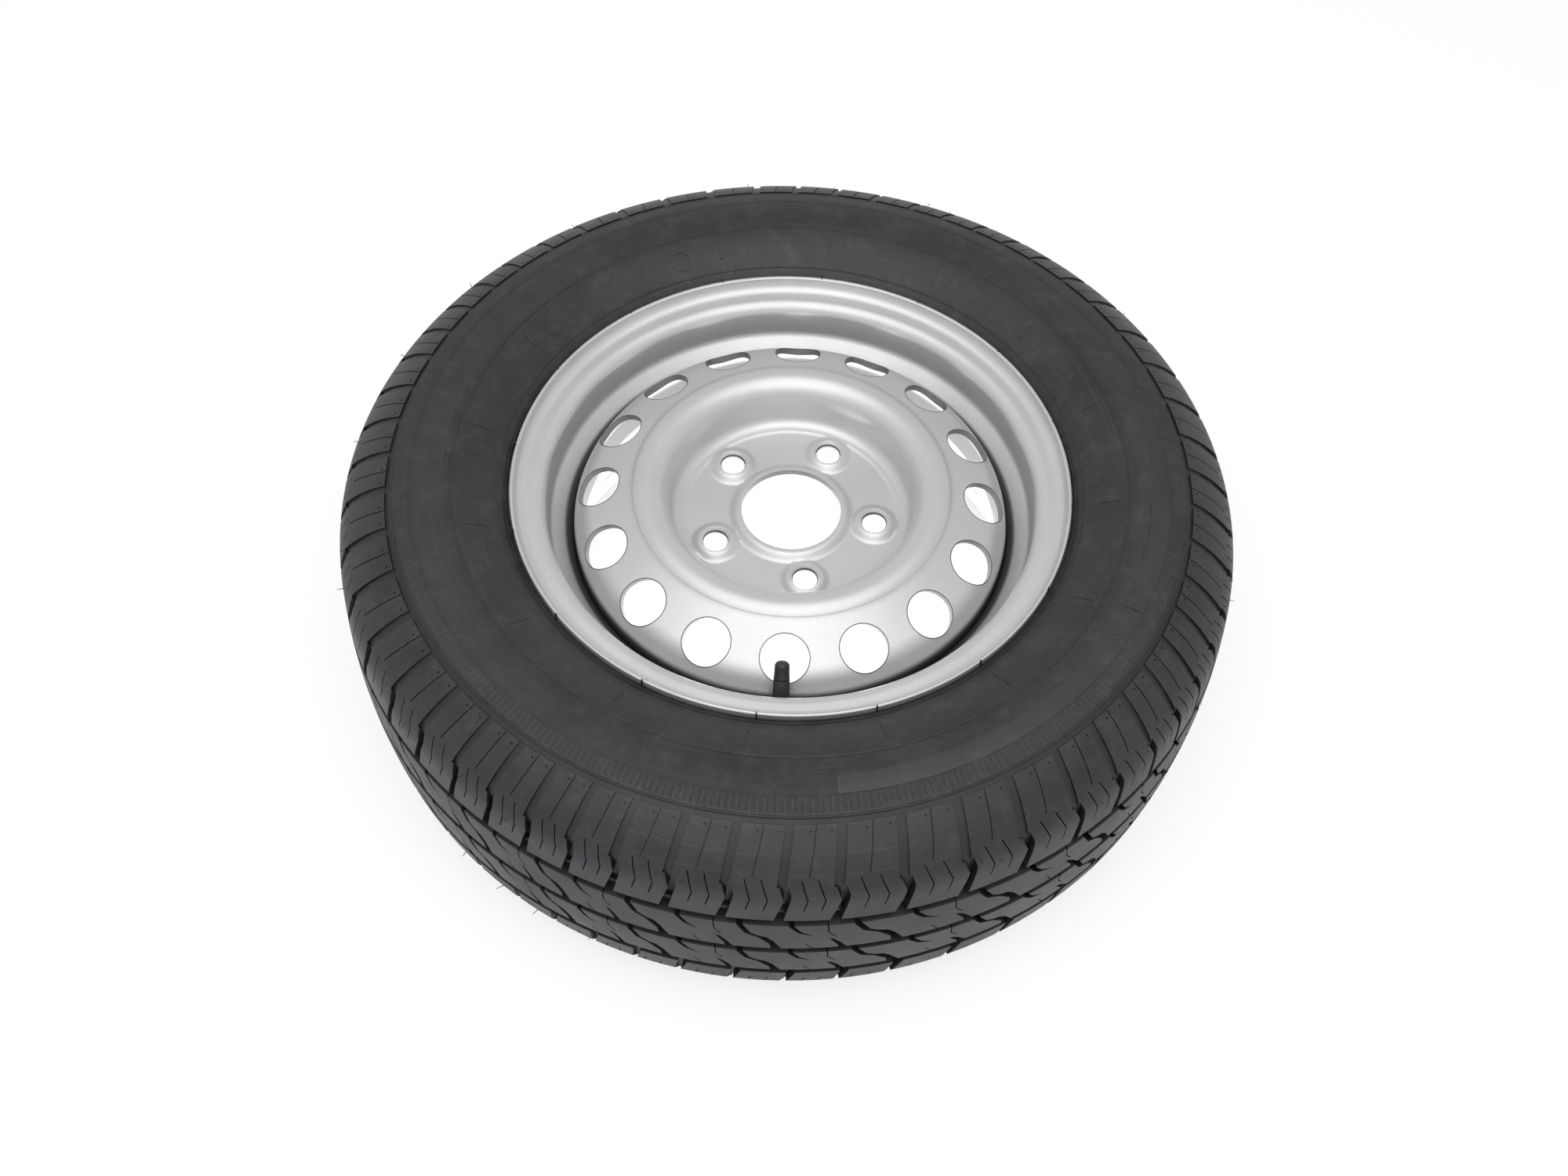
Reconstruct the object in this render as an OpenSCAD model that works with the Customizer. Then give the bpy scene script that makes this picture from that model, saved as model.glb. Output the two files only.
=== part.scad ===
/* [Tyre] */
// Radius of the tyre at the middle of the tread
tyre_r = 294.6; // [290:0.2:300]
// Width of the tyre across its sidewalls
tyre_w = 184; // [180:0.5:188]
// Drop from the middle of the tread to where the sidewalls stand furthest apart
wall_drop = 62.6; // [58.6:0.5:65.6]
// Radius of the crown across the tread
crown_r = 420; // [360:10:600]
// Width of the tread up to where the shoulders begin to turn
tread_w = 105; // [101:0.5:108]
// Thickness of the sidewalls
side_t = 7.5; // [6:0.1:9]
// Rubber and belts left under the grooves
under_groove_t = 6.5; // [5:0.1:9]
/* [Tread pattern] */
// Depth of the three grooves that run round the tyre
groove_depth = 7.8; // [6:0.1:8.4]
// Width of those grooves at the tread
groove_w = 6.5; // [5:0.1:8]
// Distance from one groove to the next
groove_pitch = 35.4; // [34:0.1:36.5]
// Depth of the curved slots across the ribs
rib_slot_depth = 6.4; // [4:0.1:7.5]
// Radius, less than the tread's, of the floor of the shoulder slots
shoulder_slot_depth = 9.6; // [8.5:0.1:10.5]
// Depth of the shallow bar that ties two shoulder blocks together
tie_bar_depth = 2.4; // [1.5:0.1:4]
// Depth of the shoulder slots where they run out on the sidewall
side_slot_depth = 1.2; // [0.8:0.1:1.8]
// Width of the shoulder slots on the sidewall
side_slot_w = 5.1; // [4:0.1:6]
// Angle of a middle pitch of the pattern
pitch_m = 6.41; // [6.3:0.01:6.5]
// Angle of a long pitch of the pattern
pitch_l = 7.35; // [7.2:0.01:7.5]
// Direction of the first pitch of each quarter
pattern_start = 229.4; // [220:0.1:240]
// How far the inboard shoulder's slots follow the outboard ones
inboard_lag = 7.1; // [5:0.1:9]
/* [Rim] */
// Width between the rim flanges
rim_w = 127; // [124:1:130]
// Radius of the rim flange
flange_r = 182; // [180:0.2:184]
// Radius of the bead seat at the flange
seat_r = 164.7; // [163:0.1:166]
// Thickness of the rim's sheet
rim_t = 2.4; // [2:0.1:3]
// Radius of the curl of the flange on the tyre's side
flange_curl = 9.5; // [8.5:0.1:10]
// Radius of the corner between bead seat and flange
heel_r = 6.5; // [5:0.1:7]
// Radius of the well's floor on the tyre's side
well_r = 146.8; // [145:0.1:148]
// Slope of the well's outboard side, where the valve sits
well_slope = 37; // [34:0.5:40]
/* [Disc] */
// Thickness of the disc's sheet
disc_t = 4; // [3.4:0.1:4.4]
// Height of the mounting face above the wheel's middle plane
mount_z = 30; // [28:0.5:32]
// Height by which bolt seats and bore collar rise above the hub plate
boss_h = 4; // [3:0.1:4.6]
// Radius of the centre bore
bore_r = 33.3; // [32:0.1:35]
// Diameter of the bolt circle
bolt_circle = 112; // [110:0.5:114]
// Number of wheel bolts
bolt_count = 5; // [4:1:6]
// Radius of a bolt hole
bolt_hole_r = 8; // [7:0.1:8.5]
// Direction of the first bolt hole
bolt_start = -7.2; // [-36:0.1:36]
// Radius at which the hub plate ends in the wall
plate_r = 72.5; // [71:0.1:74]
// Distance from the hub plate's edge out to the ridge's crest
ridge_out = 22.9; // [21.5:0.1:24.5]
// Rounding of the ridge
ridge_round = 14; // [12:0.2:15]
// Slope of the band that holds the vents
band_slope = 25; // [22:0.5:27]
// Rounding of the disc's outer edge
edge_round = 22; // [19:0.2:23]
// Height at which the disc's outer flange begins
edge_z = 32.1; // [31:0.1:33.5]
// Height at which the disc's outer flange ends
flange_end_z = 8; // [6:0.5:12]
// Number of vents
vent_count = 16; // [12:1:16]
// Radius of a vent
vent_r = 15.35; // [13:0.05:16]
// Radius at which the vents are pierced
vent_circle = 127.9; // [126.5:0.1:129]
// Direction of the first vent
vent_start = -0.28; // [-1:0.01:1]
// Play between the disc's flange and the rim
disc_play = 0.05; // [0.02:0.01:0.1]
// Leg of the weld seams
weld_leg = 3.4; // [2.5:0.1:4]
// Number of weld seams
weld_count = 8; // [4:1:10]
// Angle over which a weld seam runs
weld_angle = 26; // [15:1:30]
/* [Valve] */
// Direction of the valve
valve_az = 269.2; // [268.6:0.1:270.2]
// Radius at which the valve passes the rim's sheet
valve_r = 157; // [156.6:0.1:157.4]
// Radius of the valve hole in the rim
valve_hole_r = 5.75; // [5.6:0.05:5.9]
// Length of the valve's stem beyond the rim hole
stem_len = 33; // [31:0.1:33.6]
// Length of the valve's foot inside the tyre
foot_len = 10; // [8:0.1:11]
// Radius of the valve's thread
thread_r = 3.85; // [3.7:0.01:3.95]
// Length of the cap
cap_len = 11.2; // [10:0.1:12]
// Radius of the cap at its open end
cap_r = 5.2; // [4.6:0.05:5.3]
// Play between cap and thread
cap_play = 0.08; // [0.05:0.01:0.1]
// Travel of the core's pin
pin_travel = 1.4; // [1:0.1:1.6]

/* [Hidden] */
// Steps of the curves in the outlines, in degrees
curve_step = 6;
$fn = 96;
eps = 0.01;

// Points of an arc about c, from angle a0 to angle a1
function arc(c, r, a0, a1) =
    let (n = ceil(abs(a1 - a0) / curve_step))
    [for (i = [0:n]) let (a = a0 + (a1 - a0) * i / n) c + r * [cos(a), sin(a)]];
function unit(v) = v / norm(v);
function right_of(v) = [v[1], -v[0]];
function flipped(points) = [for (p = points) [p[0], -p[1]]];
function backwards(points) = [for (i = [len(points) - 1:-1:0]) points[i]];
// Direction in which corner i of an open path moves when the path is offset to its right by one
function corner(path, i) =
    let (last = len(path) - 1,
         a = right_of(unit(path[max(i, 1)] - path[max(i, 1) - 1])),
         b = right_of(unit(path[min(i, last - 1) + 1] - path[min(i, last - 1)])))
    (a + b) / (1 + a * b);
// Outline of a sheet of thickness t that lies to the right of a path
function sheet(path, t) =
    concat(path, [for (i = [len(path) - 1:-1:0]) path[i] + t * corner(path, i)]);

// Rim section: flange curl, bead seat with its hump, slope and well
lip_angle = 14;
seat_taper = 5;
hump_r = 4.2;
well_fillet = 8;
curl_c = [flange_r - flange_curl, rim_w / 2 + flange_curl];
heel_c = [seat_r + heel_r, rim_w / 2 - heel_r];
hump_c = [seat_r - hump_r, rim_w / 2 - 21];
hump_start = hump_c + hump_r * [cos(40), sin(40)];
slope_dir = [-cos(well_slope), -sin(well_slope)];
slope_out = [sin(well_slope), -cos(well_slope)];
slope_top = hump_c + hump_r * slope_out;
slope_run = (slope_top[0] + well_fillet * slope_out[0] - well_r - well_fillet) / cos(well_slope);
well_c = slope_top + slope_run * slope_dir + well_fillet * slope_out;
bead_path = concat(arc(curl_c, flange_curl, lip_angle, -90), arc(heel_c, heel_r, 90, 180),
                   arc(hump_c, hump_r, 40, well_slope - 90));
well_inboard_z = -8;
inboard_ramp_z = -34;
rim_path = concat(bead_path, arc(well_c, well_fillet, 90 + well_slope, 180),
                  [[well_r, well_inboard_z], [seat_r - 4, inboard_ramp_z]],
                  backwards(flipped(concat(arc(curl_c, flange_curl, lip_angle, -90),
                                           arc(heel_c, heel_r, 90, 180),
                                           arc(hump_c, hump_r, 40, -20)))));

// Tyre section: crown, shoulder and sidewall arcs that run into each other
half_w = tyre_w / 2;
widest_r = tyre_r - wall_drop;
crown_c = [tyre_r - crown_r, 0];
crown_a = asin(tread_w / 2 / crown_r);
turn_a = 45;
crown_end = crown_c + crown_r * [cos(crown_a), sin(crown_a)];
da = [cos(turn_a) - cos(crown_a), sin(turn_a) - sin(crown_a)];
db = [-cos(turn_a), 1 - sin(turn_a)];
gap_to_wide = [widest_r, half_w] - crown_end;
det = da[0] * db[1] - da[1] * db[0];
shoulder_round = (gap_to_wide[0] * db[1] - gap_to_wide[1] * db[0]) / det;
upper_round = (da[0] * gap_to_wide[1] - da[1] * gap_to_wide[0]) / det;
shoulder_c = crown_end - shoulder_round * [cos(crown_a), sin(crown_a)];
upper_c = [widest_r, half_w - upper_round];
// The sidewall leaves the flange below its lip, so that the lip's curl stands free
bead_gap = 0.1;
seat_w = 11;
lip_clear = 1.4;
bead_top_a = -14;
leave = [flange_r + lip_clear, curl_c[1] - 2];
lower_round = (pow(widest_r - leave[0], 2) + pow(half_w - leave[1], 2)) / 2 / (half_w - leave[1]);
lower_c = [widest_r, half_w - lower_round];
leave_a = 180 - asin((leave[1] - lower_c[1]) / lower_round);
// A shallow channel parts the sidewall from the shoulder blocks
channel_r0 = tyre_r - 41.8;
channel_r1 = tyre_r - 37.0;
channel_a0 = acos((channel_r0 - widest_r) / upper_round);
channel_a1 = acos((channel_r1 - widest_r) / upper_round);
channel_in = upper_round - side_slot_depth;
groove_draft = 0.7;
function crown_at(z, d) = [crown_c[0] + (crown_r - d) * cos(asin(z / crown_r)), z];
function groove_points(z) =
    [crown_at(z + groove_w / 2, 0), crown_at(z + groove_w / 2 - groove_draft, groove_depth),
     crown_at(z - groove_w / 2 + groove_draft, groove_depth), crown_at(z - groove_w / 2, 0)];
function crown_between(z0, z1) = [for (i = [1:3]) crown_at(z0 + (z1 - z0) * i / 4, 0)];
rib_edge = groove_pitch - groove_w / 2;
block_edge = groove_pitch + groove_w / 2;
outer_half = concat(
    backwards(arc(lower_c, lower_round, 90, leave_a)),
    arc(upper_c, upper_round, 90 - curve_step, channel_a0),
    [upper_c + channel_in * [cos(channel_a0 - 0.6), sin(channel_a0 - 0.6)],
     upper_c + channel_in * [cos(channel_a1), sin(channel_a1)]],
    arc(upper_c, upper_round, channel_a1, turn_a),
    arc(shoulder_c, shoulder_round, turn_a - curve_step, crown_a));
tread_line = concat(
    crown_between(tread_w / 2, block_edge), groove_points(groove_pitch),
    crown_between(rib_edge, groove_w / 2), groove_points(0),
    crown_between(-groove_w / 2, -rib_edge), groove_points(-groove_pitch),
    crown_between(-block_edge, -tread_w / 2));
// Bead: it seats on the flange, round the heel and on the taper
bead_line = concat(
    arc(curl_c, flange_curl + bead_gap, bead_top_a, -90),
    arc(heel_c, heel_r - bead_gap, 90, 180),
    [[seat_r + bead_gap - seat_w * tan(seat_taper), rim_w / 2 - heel_r - seat_w]]);
toe = [seat_r + 1, rim_w / 2 - heel_r - seat_w - 1.6];
// Liner: crown, blend and sidewall arcs inside the tyre
liner_r = crown_r - groove_depth - under_groove_t;
blend_a = 60;
blend_dir = [cos(blend_a), sin(blend_a)];
blend_at = upper_c + (upper_round - side_t) * blend_dir;
blend_v = blend_at - crown_c;
blend_round = (liner_r * liner_r - blend_v * blend_v) / 2 / (liner_r - blend_v * blend_dir);
blend_c = blend_at - blend_round * blend_dir;
blend_a0 = atan2(blend_c[1] - crown_c[1], blend_c[0] - crown_c[0]);
liner_half = concat(
    arc(crown_c, liner_r, 0, blend_a0),
    arc(blend_c, blend_round, blend_a0 + curve_step, blend_a),
    arc(upper_c, upper_round - side_t, blend_a + curve_step, 90),
    arc(lower_c, lower_round - side_t, 90 + curve_step, 108),
    [[flange_r + 4, rim_w / 2 + 1], [seat_r + 9, rim_w / 2 - 11], toe]);
tyre_outline = concat(
    backwards(bead_line), outer_half, tread_line, backwards(flipped(outer_half)),
    flipped(bead_line), backwards(flipped(liner_half)), liner_half);

// Pattern: four equal quarters of four short, four middle, four long and two middle pitches
pitch_s = (90 - 6 * pitch_m - 4 * pitch_l) / 4;
quarter = [for (i = [0:13]) i < 4 ? pitch_s : (i < 8 || i > 11) ? pitch_m : pitch_l];
pitches = 14;
function pitch_at(k) = quarter[k % pitches];
function turn_to(k, i = 0) = i == k ? 0 : quarter[i % pitches] + turn_to(k, i + 1);
function start_of(k) = pattern_start + 90 * floor(k / pitches) + turn_to(k % pitches);
function stretch(k) = pitch_at(k) / 6.41;
// Width of one degree at the tread
deg_w = PI * tyre_r / 180;
// A slot's near edge at the tread lies this far before the pitch's start
slot_back = 0.98;

// Plan of the zigzag part of a shoulder slot, across and up the tyre
block_top_z = 73;
zigzag = [[-5.5, block_edge - 4], [-5, block_edge + 1.6], [0, 58.5], [-3.9, 71.2], [-3.8, block_top_z],
          [2.0, block_top_z], [1.85, 71.2], [4.4, 61], [0.5, block_edge + 1.6], [0.2, block_edge - 4]];
tie_top = block_edge + 3.4;

module radial(r0, r1) {
    translate([r0, 0, 0]) rotate([90, 0, 90]) linear_extrude(r1 - r0) children();
}
// The part of a plan that lies between two heights
module between(z0, z1) {
    intersection() {
        children();
        translate([-20, z0]) square([60, z1 - z0]);
    }
}
module shoulder_slot(f) {
    slab_top = upper_c + upper_round * [cos(channel_a1), sin(channel_a1)];
    slab_foot = shoulder_c + shoulder_round * [cos(turn_a), sin(turn_a)];
    slab_mid = (slab_top + slab_foot) / 2;
    slab_len = norm(slab_foot - slab_top);
    slab_tilt = atan2(slab_top[1] - slab_foot[1], slab_foot[0] - slab_top[0]);
    slant = 6.4;
    floor_line = [[-slab_len / 2 - 1.6, -side_slot_depth], [-slab_len / 4, 0.2], [slab_len / 8, 0.2],
                  [slab_len / 2, -1.5], [slab_len / 2 + 5.8, -3.7], [slab_len / 2 + 5.8, 6],
                  [-slab_len / 2 - 1.6, 6]];
    translate([slab_mid[0], 0.8 * f, slab_mid[1]]) rotate([0, slab_tilt, 0]) rotate([90, 0, -slant])
        linear_extrude(side_slot_w * f, center = true) polygon(floor_line);
    radial(tyre_r - shoulder_slot_depth, tyre_r + 5)
        between(tie_top, block_top_z) polygon([for (p = zigzag) [p[0] * f, p[1]]]);
    radial(tyre_r - shoulder_slot_depth / 2 - tie_bar_depth, tyre_r + 5)
        between(block_edge - 4, tie_top) polygon([for (p = zigzag) [p[0] * f, p[1]]]);
}
// Plans of the curved slots: edges as [across, down from the rib's outboard edge]
through_slot = [[10.8, -3], [12, 1.5], [16.5, 10.3], [23.9, 14.7], [30.8, 23], [31.6, 28.5], [31.8, 32],
                [38.6, 32], [38, 29.2], [35.9, 25], [33.1, 19.2], [29.1, 14.2], [23.9, 12.2], [19.9, 9.4],
                [16.5, 2.4], [13.7, -3]];
upper_hook = [[8, -3], [9.1, 1.5], [14.2, 8.4], [23.9, 13.3], [16, 6.9], [12, 0.5], [10.8, -3]];
lower_hook = [[29.6, 15.2], [32.5, 16.7], [37.6, 26], [38.2, 32], [43.2, 32], [42.7, 29.2], [39.3, 23],
              [34.8, 17.2]];
module rib_slot(plan, f, rib_top, depth) {
    radial(tyre_r - depth, tyre_r + 5)
        polygon([for (p = plan) [(p[0] - 24) * f, rib_top - p[1]]]);
}
module at_pitch(k, across) {
    rotate([0, 0, start_of(k) - slot_back + across * stretch(k) / deg_w]) children();
}

module tyre() {
    color([0.09, 0.09, 0.1])
    difference() {
        rotate_extrude($fn = 240) polygon(tyre_outline);
        for (k = [0:4 * pitches - 1]) {
            at_pitch(k, slot_back * deg_w / stretch(k)) shoulder_slot(stretch(k));
            rotate([0, 0, start_of(k) + inboard_lag]) rotate([180, 0, 0]) shoulder_slot(stretch(k));
            for (rib_top = [rib_edge, -groove_w / 2]) {
                if (k % 2 == 0) at_pitch(k, 24) rib_slot(through_slot, stretch(k), rib_top, rib_slot_depth);
                if (k % 2 == 1) at_pitch(k, 24) rib_slot(upper_hook, stretch(k), rib_top, rib_slot_depth);
                if (k % 2 == 1) at_pitch(k, 24) rib_slot(lower_hook, stretch(k), rib_top, rib_slot_depth);
            }
        }
    }
}

// The valve stands on the well's slope: along its own axis the tyre's side of the sheet is zero
valve_at = slope_top + (slope_top[0] - valve_r) / cos(well_slope) * slope_dir;
module at_valve() {
    rotate([0, 0, valve_az]) translate([valve_at[0], 0, valve_at[1]]) rotate([0, -well_slope, 0]) children();
}
module rim() {
    color([0.72, 0.73, 0.75])
    difference() {
        rotate_extrude($fn = 240) polygon(sheet(rim_path, rim_t));
        at_valve() translate([0, 0, -5]) cylinder(r = valve_hole_r, h = 12);
    }
}

// Disc section: collar, plate, wall, ridge, vented band and outer flange
disc_r = well_r - rim_t - disc_play;
plate_z = mount_z + disc_t;
collar_z = plate_z + boss_h;
ridge_r = plate_r + ridge_out;
collar_top_r = bore_r + 3.2;
collar_foot_r = bore_r + 8.4;
wall_draft = 6;
wall_fillet = 7.5;
step_h = 0.8;
band_n = [sin(band_slope), cos(band_slope)];
edge_c = [disc_r - edge_round, edge_z];
// The band touches both the edge's rounding and the ridge's
band_h = edge_c * band_n + edge_round;
ridge_c = [ridge_r, (band_h - ridge_round - ridge_r * band_n[0]) / band_n[1]];
wall_top = ridge_c + ridge_round * [-cos(wall_draft), sin(wall_draft)];
fillet_z = plate_z + step_h + wall_fillet;
fillet_side_z = fillet_z - wall_fillet * sin(wall_draft);
fillet_c = [wall_top[0] - (wall_top[1] - fillet_side_z) * tan(wall_draft) - wall_fillet * cos(wall_draft),
            fillet_z];
plate_edge_r = min(plate_r, fillet_c[0] + 1) - 2.4;
disc_path = concat(
    [[bore_r, collar_z], [collar_top_r, collar_z], [collar_foot_r, plate_z], [plate_edge_r, plate_z],
     [plate_edge_r + step_h, plate_z + step_h]],
    arc(fillet_c, wall_fillet, -90, -wall_draft),
    arc(ridge_c, ridge_round, 180 - wall_draft, 90 - band_slope),
    arc(edge_c, edge_round, 90 - band_slope, 0),
    [[disc_r, flange_end_z]]);
boss_foot_r = bolt_hole_r + 8.4;
boss_top_r = bolt_hole_r + 3;
seat_top_r = bolt_hole_r + 1.8;
vent_z = (band_h - vent_circle * band_n[0]) / band_n[1];
module each_bolt() {
    for (i = [0:bolt_count - 1])
        rotate([0, 0, bolt_start + 360 * i / bolt_count]) translate([bolt_circle / 2, 0, 0]) children();
}
module disc() {
    color([0.74, 0.75, 0.77])
    difference() {
        union() {
            rotate_extrude($fn = 192) polygon(sheet(disc_path, disc_t));
            each_bolt() translate([0, 0, plate_z - 1])
                cylinder(r1 = boss_foot_r + 0.6, r2 = boss_top_r, h = boss_h + 1);
        }
        each_bolt() {
            translate([0, 0, mount_z - 3]) cylinder(r = bolt_hole_r, h = disc_t + boss_h + 6);
            translate([0, 0, collar_z - 2.8])
                cylinder(r1 = bolt_hole_r, r2 = seat_top_r + 0.2, h = 3);
            translate([0, 0, mount_z - 2])
                cylinder(r1 = boss_top_r + 0.2, r2 = bolt_hole_r + 0.2, h = boss_h + 0.4);
        }
        translate([0, 0, collar_z - 0.4]) cylinder(r1 = bore_r, r2 = bore_r + 0.6, h = 0.6);
        for (i = [0:vent_count - 1])
            rotate([0, 0, vent_start + 360 * i / vent_count]) translate([vent_circle, 0, vent_z])
                rotate([0, band_slope, 0]) translate([0, 0, -22]) cylinder(r = vent_r, h = 40);
    }
}
module weld_seams() {
    color([0.6, 0.61, 0.63])
    for (i = [0:weld_count - 1]) rotate([0, 0, 360 * (i + 0.25) / weld_count])
        rotate_extrude(angle = weld_angle, $fn = 192)
            polygon([[disc_r, flange_end_z], [disc_r, flange_end_z - weld_leg],
                     [disc_r - weld_leg * 0.7, flange_end_z - weld_leg * 0.6],
                     [disc_r - weld_leg, flange_end_z]]);
}

// Valve: rubber body with its groove, brass stem and core
cap_foot = stem_len + 2 - cap_len;
rubber_end = cap_foot - 0.3;
stem_body_r = thread_r - 0.8;
duct_r = 1.5;
barrel_hole_r = 2.05;
core_hole_r = 2.6;
core_seat = stem_len - 6.4;
core_foot = stem_len - 19.6;
module valve_rubber() {
    color([0.08, 0.08, 0.08])
    at_valve() rotate_extrude()
        polygon([[stem_body_r + 0.02, -foot_len], [7.2, -foot_len], [8.2, -foot_len + 1], [9.3, -3.6],
                 [9, -1.6], [7.4, -0.35], [valve_hole_r - 0.05, -0.35],
                 [valve_hole_r - 0.05, rim_t + 0.35], [7.5, rim_t + 0.35], [7.6, rim_t + 1.6],
                 [6.4, rim_t + 4.5], [5.6, rim_t + 8], [5.4, rim_t + 12], [cap_r + 0.1, rubber_end - 0.6],
                 [cap_r - 0.5, rubber_end], [stem_body_r + 0.02, rubber_end]]);
}
module valve_stem() {
    color([0.72, 0.58, 0.3])
    at_valve() rotate_extrude()
        polygon([[duct_r, -foot_len + 1], [stem_body_r, -foot_len + 1], [stem_body_r, rubber_end + eps],
                 [thread_r - 0.35, rubber_end + 0.4], [thread_r, rubber_end + 0.9],
                 [thread_r, stem_len - 0.6], [thread_r - 0.6, stem_len], [core_hole_r + 0.3, stem_len],
                 [core_hole_r, stem_len - 0.3], [core_hole_r, core_seat],
                 [barrel_hole_r, core_seat - 1.6], [barrel_hole_r, core_foot - 3],
                 [duct_r, core_foot - 3.6]]);
}
pin_r = 0.5;
barrel_r = 1.7;
plug_foot = core_seat + 0.5;
plug_top = stem_len - 0.7;
spring_foot = core_foot + 1.4;
collar_foot = plug_foot - 3.6;
module core_plug() {
    color([0.75, 0.62, 0.34])
    at_valve() difference() {
        rotate_extrude()
            polygon([[pin_r + 0.1, core_foot], [barrel_r, core_foot], [barrel_r, plug_foot],
                     [core_hole_r - 0.1, plug_foot], [core_hole_r - 0.1, plug_top],
                     [pin_r + 0.5, plug_top], [pin_r + 0.5, plug_foot - 1], [barrel_r - 0.4, plug_foot - 1.6],
                     [barrel_r - 0.4, spring_foot], [pin_r + 0.1, spring_foot]]);
        for (side = [-1, 1]) translate([side * 2.2, 0, plug_top - 0.8]) cube([1.2, 6, 2.4], center = true);
    }
}
module core_gasket() {
    color([0.85, 0.2, 0.15])
    at_valve() rotate_extrude()
        polygon([[barrel_r + 0.02, core_seat - 1.5], [barrel_hole_r - 0.06, core_seat - 1.5],
                 [core_hole_r - 0.1, core_seat], [core_hole_r - 0.1, plug_foot - 0.02],
                 [barrel_r + 0.02, plug_foot - 0.02]]);
}
module core_spring() {
    turns = 5;
    lift = (collar_foot - pin_travel - spring_foot - 0.75) / turns;
    color([0.8, 0.8, 0.82])
    at_valve() for (i = [0:turns]) translate([0, 0, spring_foot + 0.2 + i * lift])
        rotate_extrude($fn = 72) translate([0.95, 0]) circle(r = 0.17, $fn = 72);
}
module core_pin() {
    color([0.78, 0.66, 0.38])
    at_valve() {
        translate([0, 0, core_foot - 2.2]) cylinder(r = pin_r, h = plug_top + 0.2 - core_foot + 2.2);
        translate([0, 0, core_foot - 2.2]) cylinder(r = barrel_r - 0.2, h = 0.8);
        translate([0, 0, collar_foot]) cylinder(r = barrel_r - 0.5, h = 0.5);
        translate([0, 0, plug_top + 0.1]) cylinder(r = pin_r + 0.25, h = 0.35);
    }
}
module core_cup() {
    color([0.15, 0.15, 0.15])
    at_valve() rotate_extrude()
        polygon([[pin_r + 0.02, core_foot - 1.38], [barrel_r - 0.1, core_foot - 1.38],
                 [barrel_r, core_foot - 0.4], [barrel_r - 0.2, core_foot - 0.02],
                 [pin_r + 0.02, core_foot - 0.02]]);
}
module valve_cap() {
    color([0.07, 0.07, 0.07])
    at_valve() rotate_extrude()
        polygon(concat(
            [[thread_r + cap_play, cap_foot], [cap_r - 0.2, cap_foot], [cap_r, cap_foot + 0.3],
             [cap_r, cap_foot + 1.2], [cap_r - 0.25, cap_foot + 1.6],
             [cap_r - 0.6, stem_len + 2 - 1.6]],
            arc([cap_r - 2, stem_len + 2 - 1.6], 1.35, 0, 90),
            [[0, stem_len + 2 - 0.25], [0, stem_len + 0.6], [thread_r + cap_play, stem_len + 0.6]]));
}

tyre();
rim();
disc();
weld_seams();
valve_rubber();
valve_stem();
core_plug();
core_gasket();
core_spring();
core_pin();
core_cup();
valve_cap();
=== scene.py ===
import math

import bmesh
import bpy
import numpy as np
from mathutils import Matrix, Vector


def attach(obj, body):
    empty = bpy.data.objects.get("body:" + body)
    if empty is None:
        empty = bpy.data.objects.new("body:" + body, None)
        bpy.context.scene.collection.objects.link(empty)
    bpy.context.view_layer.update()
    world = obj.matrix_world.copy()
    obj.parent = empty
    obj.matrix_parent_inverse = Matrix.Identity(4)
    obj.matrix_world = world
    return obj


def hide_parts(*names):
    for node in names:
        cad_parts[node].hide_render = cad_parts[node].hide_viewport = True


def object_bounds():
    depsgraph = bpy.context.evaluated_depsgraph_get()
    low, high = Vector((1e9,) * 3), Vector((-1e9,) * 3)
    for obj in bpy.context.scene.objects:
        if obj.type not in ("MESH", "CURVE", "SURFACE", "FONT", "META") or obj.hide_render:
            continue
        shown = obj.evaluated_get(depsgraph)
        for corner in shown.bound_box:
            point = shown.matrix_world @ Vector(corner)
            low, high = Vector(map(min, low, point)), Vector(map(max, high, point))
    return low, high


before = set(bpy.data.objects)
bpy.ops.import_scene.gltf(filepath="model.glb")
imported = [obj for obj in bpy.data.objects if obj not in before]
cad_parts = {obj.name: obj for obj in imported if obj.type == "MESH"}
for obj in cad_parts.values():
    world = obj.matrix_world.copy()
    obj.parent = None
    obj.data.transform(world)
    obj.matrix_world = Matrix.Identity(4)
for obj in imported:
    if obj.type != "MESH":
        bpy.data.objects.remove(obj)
cad_low, cad_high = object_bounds()
scene = bpy.context.scene

MM = 0.001
FULL_TURN = 2 * math.pi
rng = np.random.default_rng(13)

# Sizes of the wheel in millimetres, as in the part's source
TYRE_R, WIDEST_R = 294.6, 232
CROWN = ((-125.4, 0), 420)
SHOULDER = ((259.374, 48.477), 32.184)
UPPER_WALL = ((WIDEST_R, 21.103), 70.897)
LOWER_WALL = ((WIDEST_R, 25.263), 66.737)
CROWN_END, SHOULDER_END, WALL_TOP, WALL_END = 7.18, 45, 90, 136.7
S_AT_WIDEST = 53.55
FLANGE_R, RIM_T, DISC_T = 182, 2.4, 4
BORE_R, PLATE_R, BOSS_LIFT = 33.3, 74, 4
VALVE_AZ, VALVE_TILT, VALVE_AT = 269.2, 37, (157, 34.604)
STEM_LEN, FOOT_LEN, DUCT_R, CAP_R, CAP_LEN = 33, 10, 1.5, 5.2, 11.2
THREAD_R, THREAD_DEPTH, THREAD_PITCH = 3.85, 0.42, 0.794
BOLT_CIRCLE, BOLT_START, BOLTS, BOLT_R = 112, -7.2, 5, 8
VENTS, VENT_START, VENT_CIRCLE, VENT_Z, VENT_R, BAND_SLOPE = 16, -0.28, 127.9, 53.79, 15.35, 25
PITCH_M, PITCH_L = 6.41, 7.35
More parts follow.
